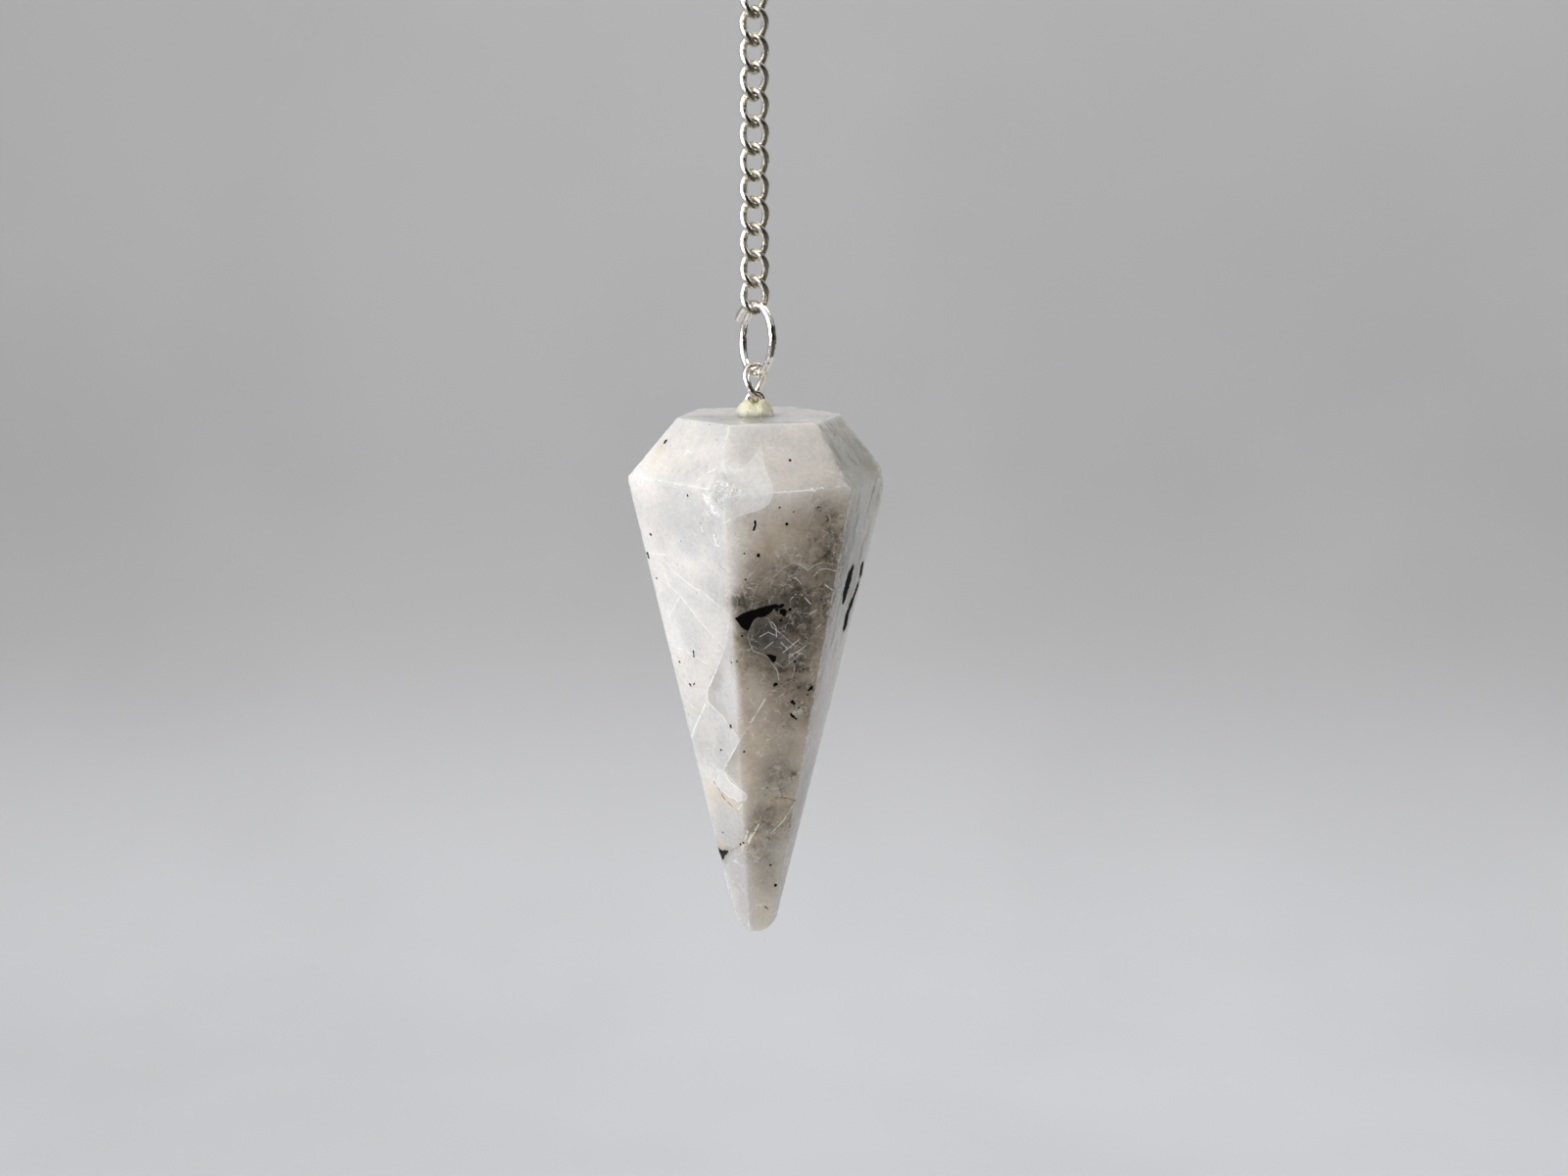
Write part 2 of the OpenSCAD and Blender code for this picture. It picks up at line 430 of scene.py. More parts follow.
def silverFinish(name, bright, roughness, markShare):
    # markShare sets how strongly tarnish, warm film and painted shade show
    silver = Finish(name)
    spot = silver.spot()
    patch = silver.fade(silver.cloud(spot, 2.6, 4.0, 0.6), 0.30, 0.62)
    # painted shade: where links touch, the silver is darkened with its tarnish, as if little light reached
    # there
    crossingDarkening = silver.times(silver.share("crossingTarnishAndShade"), patch, limit=True)
    film = silver.fade(silver.cloud(spot, 0.9, 3.0), 0.42, 0.75, 0.0, silverLook["film"])
    agedAndShaded = silver.times(silver.most(crossingDarkening, film), markShare)
    silver.feed("Base Color", silver.mixed(agedAndShaded, bright, silverLook["tarnishAndShade"]))
    scuff = silver.fade(silver.cloud(spot, 9.0, 3.0, 0.7), 0.42, 0.72, roughness, roughness + 0.12)
    silver.feed("Roughness", silver.plus(scuff, silver.times(agedAndShaded, 0.2)))
    hairlines = silver.cloud(silver.turned(spot, (20, 35, 0), (30, 3, 3)), 1.0, 2.0)
    ripple = silver.plus(silver.cloud(spot, 3.2, 2.0), silver.times(hairlines, 0.12))
    silver.feed("Normal", silver.bumped(ripple, 0.03))
    silver.fixed(Metallic=1.0)
    return silver.material


# chain
chain = {
    "links": 12,
    "length": 3.24,  # outer size of a link, mm
    "width": 2.34,
    "wire": 0.56,
    "round": 0.88,  # 1 is an oval, less has straighter sides
    "twist": 90,  # degrees from one end of a link to the other
    "topTurn": 22,  # turn of the first and of the last link
    "footTurn": -4,
    "connectorTurn": 50,
    "steps": 72,
    "sides": 14,
    "seamDepth": 0.12,  # groove where the wire's ends meet, as a share of its radius
    "rub": 0.05,  # hollow worn where two links touch
    "dents": 0.035,
    "flatness": 0.12,  # the limbs are pressed broader than the ends
}


def squared(value):
    return math.copysign(abs(value) ** chain["round"], value)


def linkPoint(angle):
    # a curb link's centre line: a squared oval whose two ends are twisted opposite ways
    halfWidth = (chain["width"] - chain["wire"]) / 2
    halfLength = (chain["length"] - chain["wire"]) / 2
    x = halfWidth * squared(math.cos(angle))
    rise = squared(math.sin(angle))
    turn = math.radians(-chain["twist"] / 2 * rise)
    return Vector((x * math.cos(turn), x * math.sin(turn), halfLength * rise))


def makeLink(name, turn, body, material, seed):
    low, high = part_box(name)
    place = Matrix.Translation((0, 0, (low.z + high.z) / 2))
    place = place @ Matrix.Rotation(math.radians(turn), 4, "Z") @ Matrix.Scale(mm, 4)
    steps = chain["steps"]
    angles = roundTurns(steps)
    centres = [place @ linkPoint(a) for a in angles]
    middle = place @ Vector((0, 0, 0))
    outs = [(c - middle).normalized() for c in centres]
    seam = steps // 2 + 3 * (seed % 3 - 1)  # the join sits on one limb

    def radius(i, angle):
        gap = min(abs(i - seam), steps - abs(i - seam))
        groove = chain["seamDepth"] * max(0.0, 1 - gap / 0.9)
        atEnd = abs(math.sin(angles[i])) ** 14
        inner = max(0.0, -math.cos(angle))
        dent = chain["dents"] * noise.noise(centres[i] / mm * 0.9 + Vector((seed, angle, 0)))
        broad = chain["flatness"] * abs(math.cos(angle)) * abs(math.cos(angles[i])) ** 2
        return chain["wire"] / 2 * mm * (1 - groove - chain["rub"] * atEnd * inner + dent + broad)

    work = wireMesh(centres, outs, radius, chain["sides"], True)
    piece = placeMesh(name + "_silver", work, material, body, [name])
    # tarnish and painted shade where the link's ends meet the next links
    storeShare(piece, "crossingTarnishAndShade", smoothStep(abs(heights(piece) - middle.z) / mm, 0.5, 1.2))


def makeChain():
    silver = silverFinish("chainSilver", silverLook["bright"], silverLook["roughness"], 0.8)
    for i in range(1, chain["links"] + 1):
        share = (i - 1) / (chain["links"] - 1)
        turn = chain["topTurn"] + (chain["footTurn"] - chain["topTurn"]) * share
        makeLink(f"link_{i:02d}", turn, "chain", silver, i)
    makeLink("connector_link", chain["connectorTurn"], "drop", silver, 20)
    print("chain made:", chain["links"] + 1, "links")


# end ring
endRing = {
    "wire": 0.70,
    "steps": 120,
    "sides": 18,
    "seam": 0.4,  # where the soldered seam lies, as a share of the way round
    "solder": 0.10,  # how far the solder stands proud, as a share of the wire's radius
    "dents": 0.015,
}


def makeEndRing():
    low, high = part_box("end_ring")
    middle = (low + high) / 2
    reach = (high.z - low.z) / 2 - endRing["wire"] / 2 * mm
    steps = endRing["steps"]
    outs = [Vector((0, math.cos(a), math.sin(a))) for a in roundTurns(steps)]
    centres = [middle + out * reach for out in outs]

    def radius(i, angle):
        gap = (i / steps - endRing["seam"]) * steps
        bead = math.exp(-(gap / 1.6) ** 2) - 1.6 * math.exp(-(gap / 0.5) ** 2)
        dent = noise.noise(centres[i] / mm * 0.7 + Vector((0, angle, 5)))
        apart = min(1.0, abs(gap) / 3)  # the seam itself has no dents
        proud = endRing["solder"] * bead * max(0.0, -math.cos(angle))
        grown = 1 + proud - endRing["dents"] * abs(dent) * apart
        return endRing["wire"] / 2 * mm * min(grown, 1.0 if math.cos(angle) > 0 else 1.1)

    silver = silverFinish("endRingSilver", silverLook["ringBright"], silverLook["ringRoughness"], 0.5)
    work = wireMesh(centres, outs, radius, endRing["sides"], True)
    piece = placeMesh("end_ring_silver", work, silver, "chain", ["end_ring"])
    lowest = min(heights(piece))
    # tarnish and painted shade at the ring's foot, where the first link hangs
    storeShare(piece, "crossingTarnishAndShade", smoothStep(heights(piece), lowest + 1.0 * mm, lowest))
    print("end ring made")


# jump ring
jumpRing = {
    "width": 6.26,
    "wire": 0.66,
    "turn": -61,
    "cut": 141,  # where the wire is cut, degrees round the ring
    "overlap": 12,  # how far each cut end runs past the middle of the cut
    "endGap": 0.06,
    "steps": 190,
    "sides": 20,
    "plierMarks": [(788, 340), (754, 344), (751, 327), (783, 366)],  # pixels of the photograph
    "markDepth": 0.13,  # as shares of the wire's radius
    "markSwell": 0.06,
    "markLength": 0.22,  # mm
    "taper": 0.86,  # the cutter's slight taper at the two ends
}


def ringPath():
    # the cut ring's centre line: two half rings, bent apart sideways about the point opposite the cut
    low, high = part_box("jump_ring")
    reach = (jumpRing["width"] - jumpRing["wire"]) / 2
    quarter = (jumpRing["wire"] + jumpRing["endGap"]) / 4
    bend = math.asin(quarter / reach)
    hinge = math.radians(jumpRing["cut"] - 180)
    place = Matrix.Translation((0, 0, (low.z + high.z) / 2)) @ Matrix.Scale(mm, 4)
    place = place @ Matrix.Rotation(math.radians(jumpRing["turn"]), 4, "Z")
    place = place @ Matrix.Rotation(math.pi / 2, 4, "X")
    place = place @ Matrix.Translation((0, 0, quarter * math.sin(hinge)))
    place = place @ Matrix.Rotation(-bend, 4, "X") @ Matrix.Rotation(hinge, 4, "Z")
    centres, outs = [], []
    steps = jumpRing["steps"]
    for i in range(steps + 1):
        angle = math.radians(180 + jumpRing["overlap"]) * (2 * i / steps - 1)
        side = math.copysign(1, angle)
        out = Vector((math.cos(angle), math.sin(angle), 0))
        swing = Matrix.Translation((reach, 0, 0)) @ Matrix.Rotation(side * bend, 4, "Y")
        swing = place @ swing @ Matrix.Translation((-reach, 0, 0))
        centres.append(swing @ (out * reach))
        outs.append((swing.to_3x3() @ out).normalized())
    return centres, outs


def makeJumpRing():
    centres, outs = ringPath()
    seen = pixelsOf([tuple(c) for c in centres])
    marks = []
    for mark in jumpRing["plierMarks"]:
        apart = np.hypot(*(seen - np.array(mark)).T)
        marks.append(int(apart.argmin()))
    length = (centres[1] - centres[0]).length / mm
    last = len(centres) - 1

    def radius(i, angle):
        share = 1.0
        for order, mark in enumerate(marks):
            gap = (i - mark) * length / jumpRing["markLength"]
            facing = max(0.0, math.cos(angle - order * 1.9))
            share -= jumpRing["markDepth"] * math.exp(-gap * gap) * facing
            share += jumpRing["markSwell"] * math.exp(-(abs(gap) - 1.8) ** 2) * facing
        if i in (0, last):
            share *= jumpRing["taper"]
        return jumpRing["wire"] / 2 * mm * share

    silver = silverFinish("ringSilver", silverLook["ringBright"], silverLook["ringRoughness"], 0.35)
    work = wireMesh(centres, outs, radius, jumpRing["sides"], False)
    piece = placeMesh("jump_ring_silver", work, silver, "ring", ["jump_ring"])
    for face in piece.data.polygons:
        if len(face.vertices) > 4:
            face.use_smooth = False  # the flat cut ends keep a crisp rim
    middle = sum((c.z for c in centres)) / len(centres)
    # tarnish and painted shade at the top and the foot, where the ring passes through the links
    storeShare(piece, "crossingTarnishAndShade", smoothStep(abs(heights(piece) - middle), 2.5 * mm, 3.0 * mm))
    print("jump ring made")


# eye pin
eyePin = {
    "eyeWidth": 1.75,
    "wire": 0.42,
    "turn": 22,
    "neck": 0.30,  # length of the bend from the stem into the eye
    "open": 40,  # degrees left open at the eye's foot
    "steps": 70,
    "stemSteps": 10,
    "easing": 12,  # how often the bend at the neck is smoothed
    "sides": 14,
}


def makeEyePin():
    low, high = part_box("eye_pin")
    reach = (eyePin["eyeWidth"] - eyePin["wire"]) / 2 * mm
    middle = high.z - eyePin["eyeWidth"] / 2 * mm
    turn = math.radians(eyePin["turn"])
    across = Vector((math.cos(turn), math.sin(turn), 0))
    up = Vector((0, 0, 1))
    stemTop = middle - reach - eyePin["neck"] * mm
    steps = eyePin["stemSteps"]
    path = [up * (low.z + (stemTop - low.z) * i / steps) for i in range(steps + 1)]
    first = math.radians(-90 + eyePin["open"] / 2)
    last = math.radians(270 - eyePin["open"] / 2)
    for i in range(eyePin["steps"] + 1):
        angle = first + (last - first) * i / eyePin["steps"]
        path.append(up * middle + (across * math.cos(angle) + up * math.sin(angle)) * reach)
    path = eased(path, steps - 1, steps + 6)
    outs = [across.cross(up)] * len(path)

    def radius(i, angle):
        return eyePin["wire"] / 2 * mm

    work = wireMesh(path, outs, radius, eyePin["sides"], False)
    silver = silverFinish("pinSilver", silverLook["bright"], silverLook["roughness"], 0.9)
    piece = placeMesh("eye_pin_silver", work, silver, "drop", ["eye_pin"])
    # tarnish and painted shade down the eye's lower half and the stem
    storeShare(piece, "crossingTarnishAndShade", smoothStep(-(heights(piece) - middle) / mm, -0.2, 0.5))
    print("eye pin made")


def eased(path, start, end):
    # smooths a bend by sliding its points towards their neighbours
    for _ in range(eyePin["easing"]):
        moved = list(path)
        for i in range(start, end):
            moved[i] = (path[i - 1] + path[i] * 2 + path[i + 1]) / 4
        path = moved
    return path


# glue
glue = {
    "skirt": 1.60,  # half width of the mound on the table, mm
    "tongue": 4.7,  # how far a thin spill runs towards the front
    "tongueTurn": -92,  # its direction, and half of its width, in degrees
    "tongueSpread": 17,
    "filmHeight": 0.085,
    "lumps": [  # across, back, height, spread
        (-0.72, -0.40, 1.34, 0.60),
        (-1.00, 0.35, 1.00, 0.55),
        (0.68, -0.34, 1.34, 0.58),
        (0.95, 0.35, 1.05, 0.55),
        (-0.32, -0.78, 1.05, 0.66),
        (0.42, -0.76, 1.02, 0.64),
        (-0.10, 0.90, 0.90, 0.60),
        (0.0, 0.0, 1.12, 0.85),
    ],
    "highest": 1.34,
    "notchTurn": 95,  # the connector's foot lies in a notch along this direction
    "notchLevel": 1.12,
    "notchHalf": 0.24,
    "notchSlope": 2.6,
    "boreHalf": 0.58,
    "clearance": 0.02,  # left free over the table
    "rings": 60,
    "columns": 150,
    "clear": (0.94, 0.915, 0.72, 1),
    "deep": (0.89, 0.83, 0.53, 1),
    "bubble": (1.0, 0.97, 0.80, 1),
}


def glueHeight(x, y, edge):
    # height over the table in mm; edge is the distance left to the rim
    total = 0.0
    for across, back, height, spread in glue["lumps"]:
        apart = ((x - across) ** 2 + (y - back) ** 2) / spread ** 2
        total += (height * math.exp(-apart)) ** 3
    height = min(total ** (1 / 3), glue["highest"])
    turn = math.radians(glue["notchTurn"])
    off = abs(x * math.sin(turn) - y * math.cos(turn))
    height = min(height, glue["notchLevel"] + glue["notchSlope"] * max(0.0, off - glue["notchHalf"]))
    film = glue["filmHeight"] * (1 + 0.6 * noise.noise(Vector((x * 1.3, y * 1.3, 4))))
    ripple = 0.05 * noise.noise(Vector((x * 3.1, y * 3.1, height))) * min(1.0, height)
    return (max(height, film) + ripple) * float(smoothStep(edge, -0.01, 0.16))


def glueRim(turn):
    # half width of the mound towards a turn, with the thin spill at the front
    offTongue = (math.degrees(turn) - glue["tongueTurn"] + 180) % 360 - 180
    rim = glue["skirt"] + 0.16 * noise.noise(Vector((math.cos(turn) * 2, math.sin(turn) * 2, 9)))
    spill = (glue["tongue"] - glue["skirt"]) * math.exp(-(offTongue / glue["tongueSpread"]) ** 4)
    return rim + spill * (1 + 0.10 * noise.noise(Vector((offTongue * 0.25, 0, 2))))


def makeGlue():
    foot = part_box("glue_bead")[0].z
    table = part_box("stone")[1].z + glue["clearance"] * mm
    turns = roundTurns(glue["columns"])
    work = bmesh.new()
    centre = work.verts.new((0, 0, table + glueHeight(0, 0, 1) * mm))
    rows = []
    for ring in range(1, glue["rings"] + 1):
        row = []
        for turn in turns:
            rim = glueRim(turn)
            reach = rim * (ring / glue["rings"]) ** 0.9
            x, y = reach * math.cos(turn), reach * math.sin(turn)
            row.append(work.verts.new((x * mm, y * mm, table + glueHeight(x, y, rim - reach) * mm)))
        rows.append(row)
    half = glue["boreHalf"] * mm
    for level in (table, foot):
        rows.append([work.verts.new((half * math.cos(turn), half * math.sin(turn), level)) for turn in turns])
    for before, after in zip(rows, rows[1:]):
        for i in range(len(turns)):
            j = (i + 1) % len(turns)
            work.faces.new((before[i], after[i], after[j], before[j]))
    for spot, following in zip(rows[0], rows[0][1:] + rows[0][:1]):
        work.faces.new((centre, spot, following))
    work.faces.new(list(reversed(rows[-1])))
    bmesh.ops.recalc_face_normals(work, faces=work.faces)
    piece = placeMesh("glue_spill", work, glueFinish(), "drop", ["glue_bead"])
    level = heights(piece)
    storeShare(piece, "thick", np.where(level >= table, (level - table) / mm, 1.0))
    print("glue made")


def glueFinish():
    resin = Finish("driedGlue")
    spot = resin.spot()
    thick = resin.share("thick")
    swirl = resin.cloud(resin.warped(spot, 1.5, 0.6), 1.6, 4.0, 0.6)
    deep = resin.times(resin.fade(swirl, 0.35, 0.7), resin.fade(thick, 0.1, 1.0))
    colour = resin.mixed(deep, glue["clear"], glue["deep"])
    bubbles = resin.fade(resin.grains(spot, 5.5), 0.16, 0.08)
    resin.feed("Base Color", resin.mixed(resin.times(bubbles, 0.5), colour, glue["bubble"]))
    resin.feed("Alpha", resin.fade(thick, 0.0, 0.6, 0.30, 0.97))
    resin.feed("Roughness", resin.fade(swirl, 0.3, 0.8, 0.04, 0.14))
    lumpy = resin.plus(resin.cloud(spot, 4.0, 3.0), resin.times(bubbles, 0.4))
    resin.feed("Normal", resin.bumped(lumpy, 0.16))
    resin.fixed(Subsurface_Weight=0.25, Subsurface_Radius=(1.0, 0.8, 0.4), Subsurface_Scale=0.0008, IOR=1.48)
    return resin.material


# stone: form
stone = {
    "bevel": 0.09,  # polished edges, mm
    "seenEdge": 0.34,  # length of mesh edges on the side that the photograph shows, and elsewhere
    "hiddenEdge": 0.65,
    "detailEdge": 0.12,  # and round the spots of fineSpots
    "fineSpots": [  # pixel and reach in mm
        ((736, 502), 1.7), ((748, 479), 0.8), ((768, 630), 1.7), ((737, 870), 0.8), ((761, 944), 1.1),
        ((830, 499), 0.5), ((787, 671), 0.7), ((900, 490), 2.2), ((792, 650), 2.6), ((815, 716), 1.4),
    ],
    "coarseEdge": 9,  # where the halving of long edges starts
    "shrink": 0.7,  # and its steps
    "wave": 0.010,  # how far the polish wavers
    "waveSize": 2.6,
    "nick": 0.035,  # depth of small nicks along the edges
    "nickReach": 0.3,  # and how far they reach from an edge
    "boreReach": 0.62,
    "noseTop": -80.9,  # level where the rounded nose begins
    "keenAngle": 0.05,  # radians between facets, above which an edge counts
    "lostReach": 6,  # pixels round the lost edges within which an edge isn't bevelled
    "facets": {  # azimuth from the front towards +X in degrees, and the range of the normal's z
        "left": (-47, -0.3, 0.0),
        "front": (15, -0.3, 0.0),
        "right": (71, -0.3, 0.0),
        "crownLeft": (-47, 0.3, 0.9),
        "crownFront": (11, 0.3, 0.9),
        "crownRight": (72, 0.3, 0.9),
    },
    "chips": [  # pixel, radius of the scoop and its depth in mm
        ((760.5, 946.5), 0.9, 0.16),
        ((756, 941), 0.5, 0.06),
        ((829.5, 499.5), 0.45, 0.07),
        ((745.5, 505.5), 0.35, 0.04),
        ((836, 433), 0.5, 0.05),
        ((869, 501), 0.6, 0.07),
        ((640.8, 488), 0.4, 0.05),
        ((899, 482), 0.9, 0.14),
        ((901, 492), 0.8, 0.12),
        ((896, 476), 0.7, 0.10),
        ((892, 500), 0.9, 0.07),
        ((899.5, 506), 0.7, 0.10),
        ((735.5, 868), 0.35, 0.05),
    ],
}
pit = {
    "middle": (735, 503),  # a rough broken hollow in the crown's left facet
    "reach": (13, 17),  # its half width and half height in pixels
    "scoops": 110,
    "size": (0.22, 0.60),  # radius of its small breaks, mm
    "depth": (0.05, 0.20),
    "tilt": 0.35,
    "glint": (-0.41, -0.87, 0.26),  # the direction that mirrors the window to the front
    "lean": (-0.6, 1.5),  # how far breaks lean to it
    "seed": 11,
}


def cleanFacets():
    # the cut stone as whole flat facets
    work = bmesh.new()
    work.from_mesh(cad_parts["stone"].data)
    bmesh.ops.remove_doubles(work, verts=work.verts, dist=0.002 * mm)
    bmesh.ops.dissolve_limit(work, angle_limit=math.radians(1.5), verts=work.verts, edges=work.edges)
    return work


def byBore(vertex):
    return math.hypot(vertex.co.x, vertex.co.y) < stone["boreReach"] * mm


def facetPlanes(work):
    planes = []
    for face in work.faces:
        if face.calc_area() < 0.3 * mm * mm or all(byBore(v) for v in face.verts):
            continue
        normal = face.normal.copy()
        if not any(normal.dot(plane[0]) > 0.9999 for plane in planes):
            planes.append((normal, normal.dot(face.verts[0].co)))
    return planes


def planeAt(planes, azimuth, lowest, highest):
    # the facet nearest to an azimuth, with its normal's z in a range
    def away(plane):
        turn = math.degrees(math.atan2(plane[0].x, -plane[0].y))
        return abs((turn - azimuth + 180) % 360 - 180)
    return min((p for p in planes if lowest < p[0].z < highest), key=away)


def refineMesh(work, longest):
    # halves every edge longer than longest(edge), and keeps the triangles well shaped
    size = stone["coarseEdge"] * mm
    while size > stone["detailEdge"] * mm * stone["shrink"]:
        long = []
        for edge in work.edges:
            length = edge.calc_length()
            if length > size and length > longest(edge):
                long.append(edge)
        if long:
            bmesh.ops.subdivide_edges(work, edges=long, cuts=1)
            bmesh.ops.triangulate(work, faces=[f for f in work.faces if len(f.verts) > 3])
            flat = [e for e in work.edges if len(e.link_faces) == 2 and e.calc_face_angle(1) < 0.004]
            bmesh.ops.beautify_fill(work, faces=work.faces, edges=flat)
        size *= stone["shrink"]


def segmentGap(points, start, end):
    along = end - start
    away = points - start
    share = np.clip(away @ along / (along @ along), 0, 1)
    return np.linalg.norm(away - share[:, None] * along, axis=1)


def outlineGap(pixels, outline):
    # distance in pixels to a closed outline, negative inside it
    corners = np.array(outline, float)
    gap = np.full(len(pixels), 1e9)
    inside = np.zeros(len(pixels), bool)
    for start, end in zip(corners, np.roll(corners, -1, axis=0)):
        gap = np.minimum(gap, segmentGap(pixels, start, end))
        crosses = (start[1] > pixels[:, 1]) != (end[1] > pixels[:, 1])
        rise = end[1] - start[1] if end[1] != start[1] else 1.0
        reach = start[0] + (pixels[:, 1] - start[1]) / rise * (end[0] - start[0])
        inside ^= crosses & (pixels[:, 0] < reach)
    return np.where(inside, -gap, gap)


def scoop(points, place, normal, radius, depth):
    # a shell-shaped break: what lies inside a ball set outside the surface moves to the ball's wall
    centre = place + normal * (radius - depth)
    away = points - centre
    reach = np.linalg.norm(away, axis=1)
    inside = reach < radius
    away[inside] *= (radius / np.maximum(reach[inside], 1e-6))[:, None]
    points[inside] = centre + away[inside]


def hiddenGap(pixels):
    # distance in pixels to the nearest of the lost edges
    lines = stoneMarks["lostEdges"].values()
    gaps = [segmentGap(np.asarray(pixels, float), *map(np.array, line)) for line in lines]
    return np.min(gaps, axis=0)


class StoneMesh:
    # the refined stone with what is needed to place marks on it, all in millimetres
    def __init__(self):
        work = cleanFacets()
        self.planes = facetPlanes(work)
        self.tree = BVHTree.FromBMesh(work)
        crisp, lost = self.sortEdges(work)
        self.edges, lostLines = [
            [[np.array(v.co) / mm for v in edge.verts] for edge in edges] for edges in (crisp, lost)
        ]
        self.refine(work, crisp)
        self.work = work
        self.points = np.array([v.co for v in work.verts]) / mm
        self.lost = [segmentGap(self.points, start, end) < 0.004 for start, end in lostLines]
        self.normals = np.array([v.normal for v in work.verts])
        self.pixels = pixelsOf(self.points * mm)
        toCamera = np.array(cameraPlace) / mm - self.points
        self.seen = (toCamera * self.normals).sum(axis=1) > 0
        self.pixelSize = float(np.median(np.linalg.norm(toCamera, axis=1))) / focalPixels

    def sortEdges(self, work):
        # the edges to bevel, and those that the photograph loses in the stone's own glow
        sharp = []
        for edge in work.edges:
            whole = len(edge.link_faces) == 2 and not any(byBore(v) for v in edge.verts)
            above = max(v.co.z for v in edge.verts) > stone["noseTop"] * mm
            if whole and above and edge.calc_face_angle(0) > stone["keenAngle"]:
                sharp.append(edge)
        lost = [e for e in sharp if max(hiddenGap(pixelsOf([v.co for v in e.verts]))) < stone["lostReach"]]
        return [e for e in sharp if e not in lost], lost

    def refine(self, work, crisp):
        bmesh.ops.bevel(
            work, geom=crisp, offset=stone["bevel"] * mm, offset_type="OFFSET",
            segments=2, profile=0.5, affect="EDGES", clamp_overlap=True,
        )
        bmesh.ops.triangulate(work, faces=work.faces)
        fine = [(self.hit(*pixel)[0], reach * mm) for pixel, reach in stone["fineSpots"]]

        def longest(edge):
            middle = (edge.verts[0].co + edge.verts[1].co) / 2
            if any((middle - spot).length < reach for spot, reach in fine):
                return stone["detailEdge"] * mm
            seen = any(f.normal.dot(cameraPlace - middle) > 0 for f in edge.link_faces)
            return (stone["seenEdge"] if seen else stone["hiddenEdge"]) * mm

        refineMesh(work, longest)
        bmesh.ops.dissolve_degenerate(work, dist=0.012 * mm, edges=work.edges)
        bmesh.ops.triangulate(work, faces=[f for f in work.faces if len(f.verts) > 3])
        work.normal_update()
        work.verts.ensure_lookup_table()

    def hit(self, x, y):
        # place and normal of the plain stone at a pixel; beside its outline, of the point nearest to the ray
        ray = pixelRay(x, y)
        place, normal = self.tree.ray_cast(cameraPlace, ray)[:2]
        if place is None:
            place, normal = self.tree.find_nearest(cameraPlace + ray * (-cameraPlace.y / ray.y))[:2]
        return place, normal

    def spotOf(self, pixel):
        return self.hit(*pixel)[0] / mm

    def marks(self, outlines):
        # distance in mm to the nearest of the outlines, negative inside
        gap = np.full(len(self.points), 9.0)
        for outline in outlines:
            gap = np.minimum(gap, outlineGap(self.pixels, outline) * self.pixelSize)
        return np.where(self.seen, gap, 9.0)

    def strokes(self, lines):
        # the way from each point to the nearest stroke, in its half widths, and the gap left to it in mm;
        # the way is a vector, so that it stays exact between the mesh's points
        way = np.full((len(self.points), 3), 99.0)
        gap = np.full(len(self.points), 9.0)
        for corners, half in lines:
            width = half * self.pixelSize
            spots = [np.array(self.spotOf(corner)) for corner in corners]
            for start, end in zip(spots, spots[1:] or spots):
                along = end - start
                away = self.points - start
                share = np.clip(away @ along / max(along @ along, 1e-9), 0, 1)
                away = share[:, None] * along - away
                left = np.linalg.norm(away, axis=1) - width
                closer = left < gap
                way[closer] = away[closer] / width
                gap[closer] = left[closer]
        return way, gap

    def plate(self, plate, back):
        # signed distance to a plate's rim, and its soft patch; on the back a plane's cut stands in
        gap = outlineGap(self.pixels, plate["outline"]) * self.pixelSize
        patch = self.patches([plate["patch"]])
        if back:
            normal, level, middle, breadth = back
            normal = np.array(normal) / np.linalg.norm(normal)
            away = np.linalg.norm(self.points - np.array(middle), axis=1) / breadth
            gap = np.where(self.seen, gap, self.points @ normal - level)
            patch = np.where(self.seen, patch, np.exp(-(away ** 2)))
        else:
            patch = np.where(self.seen, patch, 0)
        return gap, patch

    def patches(self, blobs):
        # soft round patches: pixel, half width and half height in pixels, strength
        camera = np.array(cameraTurn)
        total = np.zeros(len(self.points))
        for pixel, halfWidth, halfHeight, strength in blobs:
            away = (self.points - np.array(self.spotOf(pixel))) @ camera
            reach = np.array([halfWidth, halfHeight, max(halfWidth, halfHeight)]) * self.pixelSize
            total = 1 - (1 - total) * (1 - strength * np.exp(-((away / reach) ** 2).sum(axis=1)))
        return total

    def lumps(self, blobs):
        # the same inside the stone's back: place and half sizes in mm, strength
        total = np.zeros(len(self.points))
        for place, reach, strength in blobs:
            away = (self.points - np.array(place)) / np.array(reach)
            total = 1 - (1 - total) * (1 - strength * np.exp(-(away ** 2).sum(axis=1)))
        return total

    def acrossFrom(self, line):
        # pixels to the right of a steep line of the photograph
        (x, y), (toX, toY) = line
        return self.pixels[:, 0] - x - (self.pixels[:, 1] - y) * (toX - x) / (toY - y)

    def rightOf(self, line, reach):
        # 0 on a line of the photograph, growing to 1 at a reach in mm to its right
        return np.where(self.seen, smoothStep(self.acrossFrom(line) * self.pixelSize, -0.1, reach), 1.0)

    def facet(self, name):
        # 1 on a facet, fading out at its edges
        normal, level = planeAt(self.planes, *stone["facets"][name])
        return smoothStep(self.points @ np.array(normal) - level / mm, -0.10, -0.02)

    def edgeGaps(self):
        gap = np.full(len(self.points), 9.0)
        for start, end in self.edges:
            gap = np.minimum(gap, segmentGap(self.points, start, end))
        return gap


